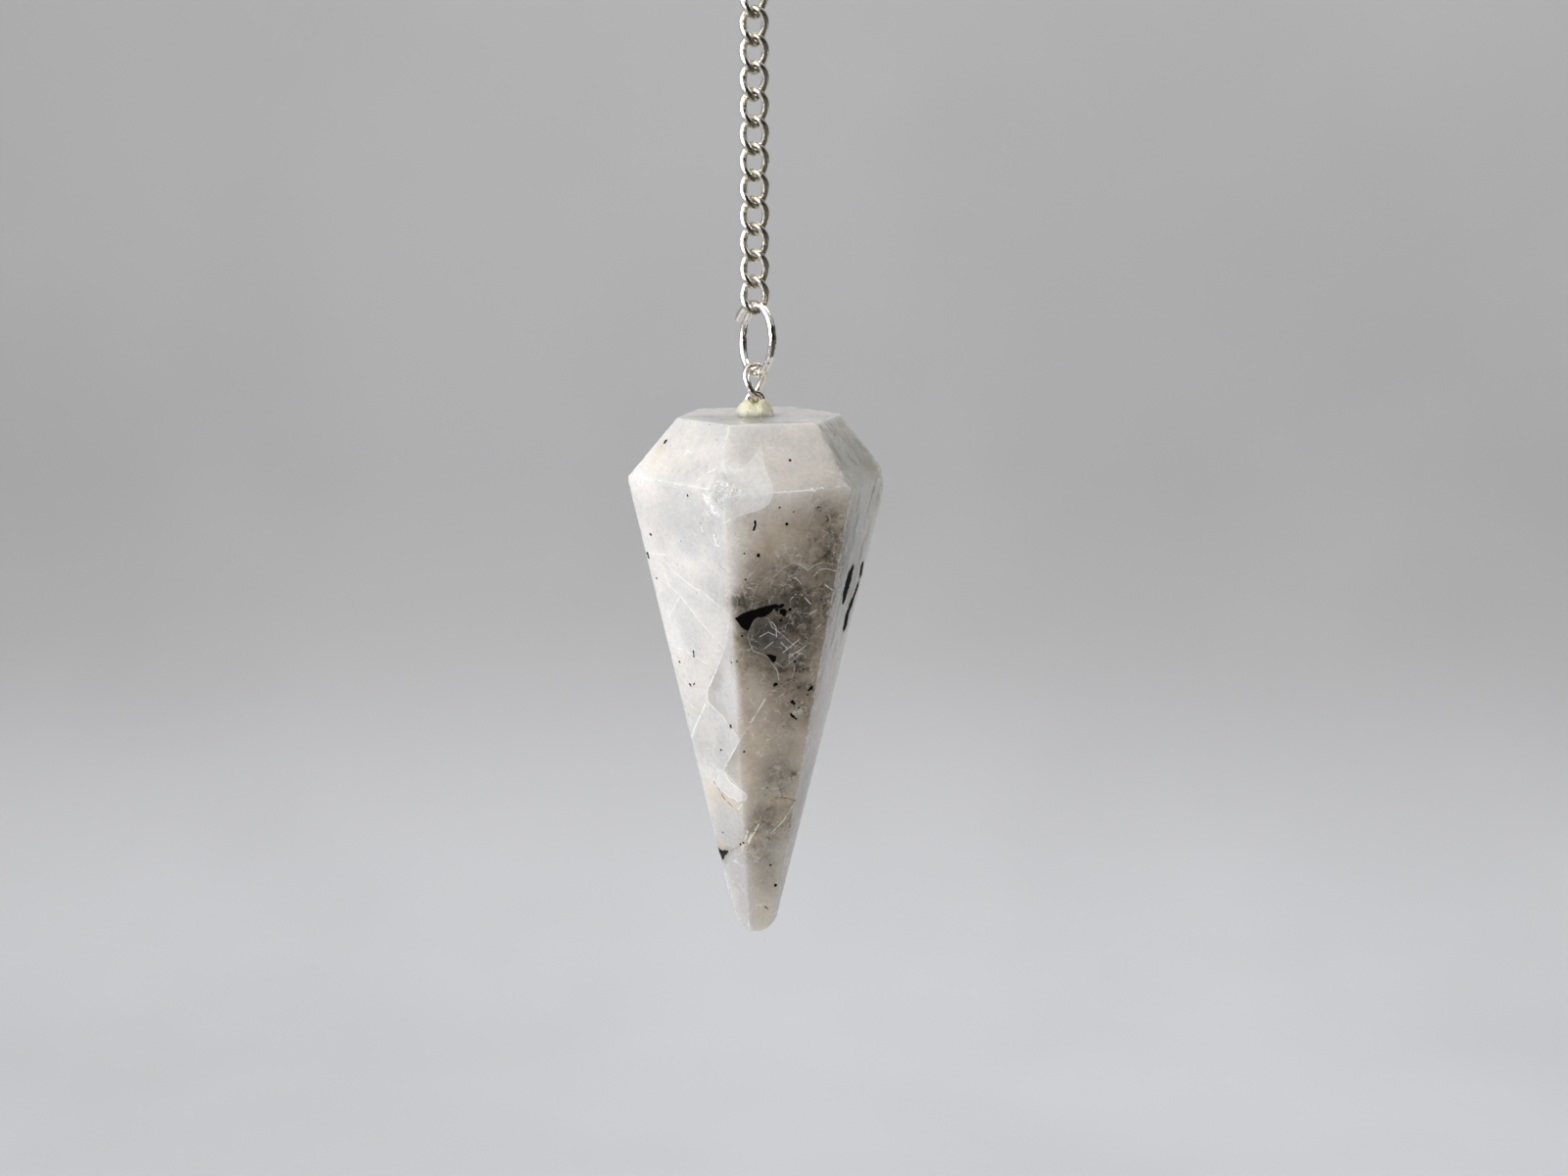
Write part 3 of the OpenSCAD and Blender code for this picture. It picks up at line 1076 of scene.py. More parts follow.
def wearStone(shape):
    # polish waves, nicks along the edges, chips and the broken pit
    gaps = shape.edgeGaps()
    reach = stone["nickReach"]
    inward = np.zeros(len(shape.points))
    clear = np.hypot(shape.points[:, 0], shape.points[:, 1]) > stone["boreReach"] + 0.2
    for i, point in enumerate(shape.points):
        place = Vector(point)
        inward[i] = stone["wave"] * (1 + noise.noise(place / stone["waveSize"]))
        if gaps[i] < reach:
            bite = max(0.0, noise.noise(place * 1.7) + 0.5 * noise.noise(place * 5.1) - 0.22)
            inward[i] += stone["nick"] * min(1.0, bite * 3) * float(smoothStep(gaps[i], reach, 0.0))
    shape.points -= shape.normals * (inward * clear)[:, None]
    for pixel, radius, depth in stone["chips"]:
        place, normal = shape.hit(*pixel)
        toward = (normal + (cameraPlace - place).normalized() * 0.3).normalized()
        scoop(shape.points, np.array(place) / mm, np.array(toward), radius, depth)
    draw = random.Random(pit["seed"])
    for _ in range(pit["scoops"]):
        turn, out = draw.uniform(0, 2 * math.pi), draw.random() ** 0.6
        pixel = [m + r * out * f(turn) for m, r, f in zip(pit["middle"], pit["reach"], (math.cos, math.sin))]
        place, normal = shape.hit(*pixel)
        tilt = Vector([draw.uniform(-pit["tilt"], pit["tilt"]) for _ in range(3)])
        tilt += Vector(pit["glint"]) * draw.uniform(*pit["lean"])
        radius = draw.uniform(*pit["size"])
        depth = draw.uniform(*pit["depth"])
        scoop(shape.points, np.array(place) / mm, np.array((normal + tilt).normalized()), radius, depth)
    for vertex, point in zip(shape.work.verts, shape.points):
        vertex.co = Vector(point) * mm


# stone: what shows in it, by pixels of the photograph
stoneMarks = {
    "lostEdges": {  # edges of the crown and the front that the stone's own glow hides
        "front": [(738.7, 509.5), (763, 930)],
        "crown": [(755, 433), (738.7, 509.5)],
        "girdle": [(640.8, 488), (738.7, 509.5)],
    },
    "plates": [  # cleavage plates: lighter or darker towards a crisp rim, inside a soft patch
        {
            "name": "flame",
            "outline": [
                (776, 454), (779, 471), (781, 480), (786, 490), (788, 499), (788, 507), (783, 516),
                (775, 520), (763, 523.5), (753, 526.5), (748.5, 531), (742.5, 541), (738, 551), (734, 558),
                (724, 556), (700, 520), (705, 470), (740, 470), (760, 476), (770, 466),
            ],
            "tone": 0.17, "fade": 2.4, "rim": 0.75, "patch": ((768, 500), 24, 42, 1.0),
        },
        {
            "name": "upperBand",
            "outline": [
                (664, 554), (672, 565), (687, 583), (701, 594), (708, 600), (716, 603), (726, 612),
                (745, 628), (739, 661), (726, 648), (710, 629), (695, 609), (683, 598), (672, 574),
            ],
            "tone": 0.05, "fade": 1.2, "rim": 0.75, "patch": ((706, 612), 44, 50, 1.0),
        },
        {
            "name": "crossBand",
            "outline": [
                (698.6, 600), (690.4, 614.5), (679, 637), (683, 657), (664, 660), (655, 600), (672, 585),
            ],
            "tone": 0.05, "fade": 1.5, "rim": 0.55, "patch": ((686, 618), 16, 26, 1.0),
        },
        {
            "name": "greyPlate",
            "outline": [
                (750.6, 636), (742.4, 653), (730.5, 685), (721.5, 705), (721.5, 715.5), (737, 731),
                (753, 752), (775, 735), (775, 640),
            ],
            "tone": -0.13, "fade": 1.3, "rim": 0.80, "patch": ((731, 700), 22, 40, 1.0),
        },
        {
            "name": "diamond",
            "outline": [
                (721.5, 715.5), (737, 731), (752.5, 751.8), (755.3, 754.7), (744.8, 773), (738, 786),
                (722, 778), (700, 764), (705.6, 751.8), (710.4, 738.5),
            ],
            "tone": 0.05, "fade": 1.4, "rim": 0.60, "patch": ((731, 752), 26, 30, 1.0),
        },
        {
            "name": "lowerPlate",
            "outline": [
                (767.8, 734.6), (755.3, 754.7), (744.8, 773), (738, 786), (750, 799), (762.5, 813),
                (790, 800), (800, 740),
            ],
            "tone": -0.12, "fade": 1.6, "rim": 0.55, "patch": ((750, 775), 20, 34, 1.0),
        },
        {
            "name": "fragment",
            "outline": [
                (731.4, 784.4), (738, 787.5), (744.8, 797.8), (754, 805), (763, 811.5), (760.5, 817),
                (757, 816), (752.5, 818.5), (750, 815), (743, 813), (740, 809), (734.5, 806),
                (731.5, 799), (733, 792),
            ],
            "tone": 0.17, "fade": 2.2, "rim": 0.65, "patch": ((748, 802), 30, 30, 1.0),
        },
        {
            "name": "brownWedge",
            "outline": [
                (786.9, 817), (791, 814.3), (796.5, 813), (804, 815), (811.5, 817), (798.4, 838),
                (788, 849), (783, 851), (781, 836),
            ],
            "tone": -0.07, "fade": 1.2, "rim": 0.0, "patch": ((797, 828), 20, 24, 1.0),
        },
        {
            "name": "crystal",
            "outline": [
                (766, 640), (770, 632), (777, 629), (784, 631), (788, 640), (796, 646), (812, 660),
                (816, 668), (800, 682), (787, 673), (779, 668), (768, 664), (763, 650),
            ],
            "tone": 0.012, "fade": 3.0, "rim": 0.38, "patch": ((789, 652), 36, 30, 1.0),
        },
        {
            "name": "veil",
            "outline": [
                (793, 586), (800, 579), (810, 574), (818, 577), (824, 582), (831, 577), (840, 573.5),
                (850, 576), (859, 580), (862, 640), (850, 680), (815, 640), (780, 620), (775, 600),
            ],
            "tone": -0.16, "fade": 2.2, "rim": 0.45, "patch": ((825, 592), 34, 24, 1.0),
        },
    ],
    "strokes": {  # corners and half width in pixels
        "white": [
            ([(658.8, 563.5), (672, 565.5), (685.3, 566.5)], 0.8),
            ([(683, 657), (705.7, 667.6), (722, 677.8)], 0.5),
            ([(727, 664), (737, 664)], 0.5),
            ([(720, 717.4), (710.4, 738.5), (705.6, 751.8)], 0.8),
            ([(700.8, 715.5), (712, 726)], 0.6),
            ([(743, 868.6), (755, 862.8)], 0.7),
            ([(757, 868), (760, 859), (763, 848)], 0.6),
            ([(745, 505.5), (790, 502.5), (830, 500)], 0.7),
            ([(640, 470), (650, 459)], 0.6),
            ([(823, 752), (825, 765), (822, 775)], 0.8),
            ([(753, 826), (757, 821)], 0.7),
            ([(776, 838), (771, 847), (766, 856), (761, 866)], 0.8),
            ([(811, 819), (799, 838), (787, 850)], 0.5),
            ([(767.8, 734.6), (775, 723), (781, 713)], 0.6),
            ([(787.5, 634.5), (792, 640), (792.5, 650)], 0.45),
            ([(776.5, 454), (779, 471), (781.5, 481), (786, 491)], 0.5),
            ([(776.5, 454), (772, 464), (768, 471)], 0.4),
            ([(797, 656), (803, 661)], 0.30),
            ([(810, 588), (818, 596)], 0.30),
            ([(822, 630), (834, 622)], 0.30),
            ([(799, 666), (815, 653)], 0.40),
            ([(804.5, 671.5), (823, 658.5)], 0.35),
            ([(775, 650), (784, 645), (790, 648)], 0.30),
            ([(780, 662), (789, 655)], 0.30),
            ([(817.5, 606), (828, 617)], 0.40),
            ([(806, 612), (813, 606)], 0.30),
            ([(841, 596), (849, 602.5), (857, 601)], 0.50),
            ([(830.5, 588), (836, 581.5), (842.5, 580), (854, 583)], 0.35),
            ([(832, 642), (838, 637)], 0.35),
            ([(851, 654), (846, 672), (841, 691)], 0.8),
            ([(849, 668), (845, 690), (841, 706)], 0.6),
            ([(787, 676), (793, 684), (795, 694)], 0.30),
        ],
        "glint": [  # painted glints: highlights laid on the breaks in and round the pit
            ([(711, 491), (717, 485.5)], 0.6),
            ([(720, 483), (729, 479)], 0.8),
            ([(738, 475.5), (741, 482)], 1.1),
            ([(744.5, 477), (750, 480), (757, 479)], 1.6),
            ([(748, 482), (750, 483.5)], 1.0),
            ([(717.5, 505.5), (723.5, 509)], 1.2),
            ([(719.5, 510), (727, 518)], 2.1),
            ([(721, 522), (723, 527)], 1.0),
            ([(726.5, 522), (733.5, 524.5)], 1.6),
            ([(731, 496), (737, 493.5), (743.5, 495)], 0.9),
            ([(731.5, 501), (738, 503.5)], 2.0),
            ([(741, 500), (743.5, 511)], 1.3),
            ([(748, 493), (745.5, 500)], 0.7),
            ([(735, 509), (738, 513)], 1.0),
            ([(739, 533), (744.5, 531)], 1.3),
            ([(728, 545), (729.5, 553)], 0.9),
            ([(730, 556.5), (733.5, 557)], 0.9),
            ([(700, 460), (707, 462)], 0.9),
            ([(695, 466), (700, 463)], 0.5),
            ([(715, 537), (717, 543)], 0.6),
            ([(829, 499), (831, 501)], 1.2),
            ([(838, 497), (841, 499)], 0.7),
        ],
        "brown": [
            ([(786.9, 817), (791, 814.3), (796.5, 813), (804, 815), (811.5, 817)], 0.8),
            ([(781.5, 829), (778.5, 835), (775, 840)], 1.1),
            ([(737, 813), (744.8, 820.7), (752.5, 828)], 0.9),
            ([(728, 797), (734, 806), (738, 813)], 0.8),
            ([(745, 868), (750, 865.5), (755, 863)], 0.8),
        ],
        "black": [
            ([(869.4, 581), (867, 589)], 6.0),
            ([(867, 588), (863.4, 602)], 9.5),
            ([(863, 601), (861.5, 611)], 6.0),
            ([(875, 598), (870.5, 611), (869, 617)], 4.0),
            ([(868.6, 615), (864.5, 628)], 5.0),
            ([(864.5, 627), (862.5, 638)], 6.5),
            ([(879.5, 577.5), (878.5, 585.5)], 4.5),
            ([(832, 519), (836, 516.5), (839, 519), (836, 523)], 0.4),
            ([(842, 526), (846, 530), (843, 533)], 0.4),
            ([(780.5, 925), (783, 927)], 0.6),
            ([(810, 731), (813, 734)], 0.7),
            ([(769, 541), (771, 536), (770.4, 532)], 1.1),
        ],
    },
    "specks": [  # pixel and radius in pixels
        ((795.5, 518), 1.0), ((803, 535), 1.6), ((774, 567), 1.9), ((759.6, 565), 0.9),
        ((760.8, 591.6), 1.0), ((757.3, 649), 1.1), ((810, 522.5), 0.8), ((679.4, 449.8), 1.7),
        ((678, 452), 1.1), ((701.6, 505.7), 1.4), ((663.9, 545.5), 1.6), ((660.6, 565), 1.8),
        ((661.8, 569), 1.3), ((669.8, 590), 1.0), ((806.2, 469.6), 1.3), ((693, 675.3), 1.3),
        ((707.6, 664.8), 1.2), ((707.8, 669.6), 1.1), ((704.2, 698.6), 1.5), ((705.8, 701), 1.1),
        ((708.6, 697.8), 1.1), ((745.4, 741.3), 1.9), ((735.8, 765.4), 1.3), ((759.3, 767), 1.2),
        ((791.3, 698.4), 2.0), ((828, 702), 1.9), ((825.6, 704), 1.2), ((808.6, 716.2), 2.1),
        ((810.2, 718), 1.6), ((807.6, 729.4), 1.4), ((809.6, 731.4), 1.5), ((815, 722), 1.0),
        ((791.4, 903.4), 1.8), ((786, 883), 1.1), ((737.7, 849.5), 0.9), ((800, 627), 2.4),
        ((793, 622), 2.0), ((797, 633), 1.5), ((806, 622), 1.5), ((759, 944), 0.8), ((752, 675), 0.9),
        ((746, 676), 0.9), ((824, 709), 1.0), ((811, 675), 1.2), ((820, 683), 1.0), ((894.6, 475.6), 1.2),
        ((783, 804), 0.9), ((755.4, 861.6), 1.5), ((758.6, 860), 1.1),
    ],
    "blackShapes": [
        [
            (749.8, 630.8), (756, 627), (762.9, 623.7), (772, 621.5), (781, 618.3), (787, 617), (790, 621),
            (785, 626), (781, 629.6), (775, 630.3), (770, 631.6), (767, 634.5), (766, 638.5), (763.9, 645),
            (760.8, 643), (756, 639.5),
        ],
        [
            (731.2, 864.2), (736, 867.5), (743, 868.4), (741, 872.2), (739.2, 873), (738.6, 877.4),
            (736.6, 877), (735, 871.5), (732.4, 868.5),
        ],
        [
            (786, 617.5), (791, 616), (795, 617.5), (799, 615.5), (801, 618), (797, 620.5), (793, 620),
            (789, 622),
        ],
        [(796, 622.5), (801, 621.5), (803, 624.5), (799, 627), (796, 626)],
        [(781, 667.2), (786, 668), (792.5, 669.5), (791.5, 674.5), (788.6, 676.5), (785.4, 672)],
    ],
    "patches": {  # pixel, half width and half height in pixels, strength
        # smoke; the thin flat patches along the table, the stone's top facet, are painted reflections
        "smokeAndReflection": [
            ((758, 612), 14, 16, 0.50), ((838, 606), 18, 36, 0.40), ((838, 648), 16, 24, 0.35),
            ((815, 630), 22, 22, 0.35), ((758, 672), 10, 22, 0.45), ((776, 842), 13, 26, 0.42),
            ((790, 792), 18, 22, 0.34), ((765, 862), 9, 22, 0.45), ((804, 832), 8, 16, 0.45),
            ((784, 900), 12, 14, 0.30), ((796, 822), 16, 10, 0.60), ((808, 742), 12, 8, 0.30),
            ((802, 722), 8, 12, 0.35), ((861, 566), 5, 24, 0.50), ((846, 545), 32, 44, 0.62),
            ((815, 574), 30, 18, 0.35), ((818, 604), 38, 26, 0.78), ((794, 628), 26, 18, 0.95),
            ((768, 644), 18, 14, 0.95), ((797, 652), 24, 24, 0.75), ((808, 690), 32, 36, 0.66),
            ((824, 716), 14, 34, 0.42), ((780, 620), 26, 8, 0.70), ((752, 428), 30, 1.4, 0.30),
            ((797, 770), 22, 50, 0.22), ((809.9, 790), 8, 6, 0.40), ((790, 838), 24, 34, 0.45),
            ((780, 880), 16, 26, 0.30), ((772, 590), 24, 30, 0.22), ((870, 590), 12, 60, 0.30),
            ((885, 470), 22, 26, 0.25), ((722, 425), 22, 2.5, 0.30), ((800, 431), 24, 2.0, 0.35),
            ((700, 423), 10, 2.0, 0.20),
        ],
        "deep": [  # the darkest smoke, round the black inclusion and in the crystal
            ((774, 614), 26, 9, 0.55), ((791, 626), 26, 15, 0.90), ((808, 632), 22, 24, 0.70),
            ((770, 642), 12, 18, 0.75), ((786, 654), 22, 24, 0.80), ((826, 654), 16, 26, 0.45),
            ((797, 680), 26, 12, 0.60), ((815, 604), 12, 10, 0.35), ((800, 600), 22, 14, 0.28),
            ((850, 600), 10, 40, 0.30), ((846, 556), 8, 22, 0.22), ((826, 704), 8, 10, 0.18),
            ((801, 620), 17, 11, 0.80), ((776, 648), 14, 18, 0.60), ((778, 639), 14, 8, 0.60),
            ((800, 632), 12, 13, 0.65), ((824, 660), 10, 10, 0.40),
        ],
        "hazeAndShade": [  # cool grey haze in the white side, and small patches of painted shadow in the breaks round the pit
            ((720, 530), 26, 22, 0.55), ((734, 486), 7, 4, 0.60), ((743, 487), 5, 3.5, 0.45),
            ((716, 498), 4, 5, 0.60), ((729, 507), 3, 3.5, 0.55), ((747, 505), 3, 7, 0.35),
            ((727, 532), 6, 5, 0.45), ((704, 466), 6, 4, 0.35), ((700, 545), 30, 26, 0.35),
            ((728, 600), 16, 18, 0.55), ((733, 700), 10, 20, 0.75), ((700, 640), 20, 20, 0.25),
            ((742, 775), 12, 18, 0.35), ((712, 478), 22, 14, 0.35), ((740, 850), 14, 26, 0.35),
            ((752, 900), 10, 20, 0.30), ((800, 425), 44, 5, 0.40), ((763, 464), 7, 10, 0.40),
        ],
        "warm": [  # the front's beige where it shows through the left side
            ((754, 780), 12, 26, 0.80), ((752, 745), 6, 14, 0.50), ((752, 664), 5, 16, 0.70),
            ((757, 828), 8, 20, 0.55),
        ],
        "chalkAndPaintedLight": [  # dense white; towards the upper left also painted light, whiter where more light falls
            ((769, 708), 11, 22, 0.34), ((770, 540), 13, 16, 0.30), ((756, 556), 9, 40, 0.16),
            ((772, 742), 9, 16, 0.22), ((784, 522), 30, 10, 0.22), ((655, 480), 16, 30, 0.6),
            ((744, 508), 12, 18, 0.6), ((752, 480), 10, 6, 0.8), ((700, 575), 26, 12, 0.4),
            ((690, 640), 16, 40, 0.5), ((768, 495), 16, 28, 0.6), ((760, 555), 8, 30, 0.35),
            ((806, 455), 30, 26, 0.25), ((725, 790), 14, 20, 0.5),
        ],
        "stain": [  # tan and peach
            ((674, 457), 5, 10, 0.60), ((680, 449), 5, 4, 0.5), ((664, 476), 6, 22, 0.25),
            ((724, 808), 9, 16, 0.60), ((740, 815), 11, 7, 0.75), ((752, 824), 8, 5, 0.60),
            ((738, 866), 8, 7, 0.65), ((757, 862), 8, 5, 0.55), ((797, 816), 16, 5, 0.55),
            ((770, 848), 7, 14, 0.35), ((798, 832), 14, 16, 0.35), ((763, 798), 16, 10, 0.20),
            ((893, 500), 10, 24, 0.25),
        ],
    },
    "lumps": {  # the same on the hidden sides: place and half sizes in mm, strength
        "smokeAndReflection": [
            ((4.5, 7.5, -52), (4.0, 3.5, 4.5), 0.65),
            ((1.5, 7.5, -57.5), (3.0, 3.0, 3.5), 0.55),
            ((-6.5, 4.5, -49), (2.5, 3.5, 3.0), 0.30),
            ((3.0, 3.5, -69), (2.0, 2.5, 4.5), 0.40),
            ((7.5, 3.0, -56), (2.0, 4.0, 6.0), 0.40),
            ((-3.5, 3.5, -63), (2.0, 2.0, 3.0), 0.28),
        ],
        "stain": [
            ((-4.5, 6.5, -47), (1.2, 1.5, 3.0), 0.40),
            ((1.0, 3.5, -74), (2.0, 1.6, 0.9), 0.60),
            ((-2.5, 4.0, -67), (1.4, 1.4, 2.2), 0.35),
            ((7.5, 4.5, -46), (2.0, 2.0, 1.2), 0.30),
        ],
        "chalkAndPaintedLight": [
            ((-5.5, 6.0, -54), (3.0, 3.0, 5.0), 0.55),
            ((0.5, 8.0, -47), (3.0, 3.0, 2.0), 0.50),
            ((4.0, 4.0, -64), (2.0, 2.0, 3.0), 0.45),
        ],
    },
    "backPlates": [  # cleavage planes on the back: direction, distance in mm, middle and breadth of the patch
        ((0.62, 0.30, 0.72), -34.0, (2, 6, -50), 6.0),
        ((0.66, 0.25, 0.71), -38.5, (-2, 5, -56), 5.0),
        ((-0.58, 0.40, 0.71), -40.0, (0, 6, -55), 5.5),
        ((-0.55, 0.35, 0.76), -49.0, (0, 4, -64), 4.5),
        ((0.60, 0.35, 0.72), -47.5, (1, 4, -66), 4.5),
    ],
}

# stone: finish
stoneLook = {
    "milk": (0.84, 0.81, 0.78, 1),
    "milkGrey": (0.71, 0.695, 0.68, 1),
    # dense white, also used as painted light on the upper left
    "chalkAndPaintedLight": (0.96, 0.95, 0.935, 1),
    # cool grey haze, also the colour of painted shade
    "hazeAndShade": (0.52, 0.53, 0.54, 1),
    "beige": (0.50, 0.425, 0.34, 1),
    "paleBeige": (0.64, 0.56, 0.45, 1),
    "lowBeige": (0.655, 0.62, 0.555, 1),
    # smoke brown, also the colour of the painted reflections on the table
    "smokeAndReflection": (0.22, 0.185, 0.145, 1),
    "deepSmoke": (0.08, 0.071, 0.055, 1),
    "ice": (0.085, 0.09, 0.088, 1),
    "tan": (0.76, 0.64, 0.46, 1),
    "brown": (0.30, 0.17, 0.09, 1),
    "ink": (0.003, 0.003, 0.003, 1),
    "rim": (0.97, 0.955, 0.93, 1),
    # colour of the painted highlights round the pit
    "streak": (0.36, 0.375, 0.345, 1),
    "glint": (1.0, 0.995, 0.985, 1),
    "side": (0.70, 0.695, 0.65, 1),
    "lowShade": 0.76,  # painted shade: how much darker the stone is painted at its tip, where less light falls
    # scale, half width, colour and strength of the threads in the smoke
    "threads": [(0.9, 0.016, "rim", 0.42), (0.7, 0.020, "rim", 0.30), (1.1, 0.016, "deepSmoke", 0.5)],
}


def frontShare(shape):
    # the beige front side fades in below the girdle and past its left edge, sooner down the point
    height = shape.points[:, 2]
    facet = shape.facet("front")
    lower = smoothStep(height, -60, -50)
    across = shape.acrossFrom(stoneMarks["lostEdges"]["front"]) * shape.pixelSize
    ramp = smoothStep(across / (0.9 + 1.2 * lower), -0.05, 1.0)
    girdle = max(height[facet > 0.9])
    below = smoothStep(girdle - height, 0.1, 3.4) * 0.78 + 0.22
    return facet * np.where(shape.seen, ramp * below, 1.0)


def stoneShares(shape):
    # everything that the finish needs to know about each point of the mesh
    depth = max(shape.points[:, 2]) - shape.points[:, 2]
    lostGap = hiddenGap(shape.pixels) * shape.pixelSize
    shares = {
        "front": frontShare(shape),
        "right": shape.facet("right"),
        "crownFront": shape.facet("crownFront") * shape.rightOf(stoneMarks["lostEdges"]["crown"], 4.5),
        "crownRight": shape.facet("crownRight"),
        "sides": smoothStep(shape.points[:, 0] - shape.points[:, 1] * 0.2, 6.5, 8.0) * 0.7,
        "blackShape": shape.marks(stoneMarks["blackShapes"]),
        "edge": shape.edgeGaps(),
        "broken": shape.patches([(pit["middle"], *pit["reach"], 1.0)]) * shape.seen,
        "calm": np.exp(-(lostGap / 0.25) ** 2) * shape.seen * smoothStep(depth, 0.05, 0.3),
    }
    shares["paintedEdgeLight"], shares["paintedEdgeShade"] = edgeBlend(shape)
    for name, blobs in stoneMarks["patches"].items():
        hidden = shape.lumps(stoneMarks["lumps"].get(name, ()))
        shares[name] = np.where(shape.seen, shape.patches(blobs), hidden)
    backs = stoneMarks["backPlates"]
    for i, plate in enumerate(stoneMarks["plates"]):
        gap, patch = shape.plate(plate, backs[i] if i < len(backs) else None)
        shares[plate["name"] + "Gap"], shares[plate["name"] + "Patch"] = gap, patch
    strokes = dict(stoneMarks["strokes"])
    strokes["black"] = strokes["black"] + [([spot], radius) for spot, radius in stoneMarks["specks"]]
    for name, lines in strokes.items():
        shares[name + "Way"], shares[name + "Gap"] = shape.strokes(lines)
    return shares


def edgeBlend(shape):
    # painted light and shade that hide the left edges, as light carried through the stone does: pale beyond
    # them, and a little dim before them
    paintedEdgeLight = np.zeros(len(shape.points))
    paintedEdgeShade = np.zeros(len(shape.points))
    lower = smoothStep(shape.points[:, 2], -60, -48)  # weaker down the point
    for line, beyond, before in (("front", "front", "left"), ("crown", "crownFront", "crownLeft")):
        reach = shape.acrossFrom(stoneMarks["lostEdges"][line]) * shape.pixelSize
        glow = np.exp(-(reach / (0.8 + 0.4 * lower)) ** 2) * (0.02 + 0.50 * lower)
        shade = np.exp(-(reach / 1.5) ** 2) * (0.24 + 0.06 * lower)
        paintedEdgeLight = np.maximum(paintedEdgeLight, shape.facet(beyond) * glow)
        paintedEdgeShade = np.maximum(paintedEdgeShade, shape.facet(before) * shade)
    return paintedEdgeLight * shape.seen, paintedEdgeShade * shape.seen


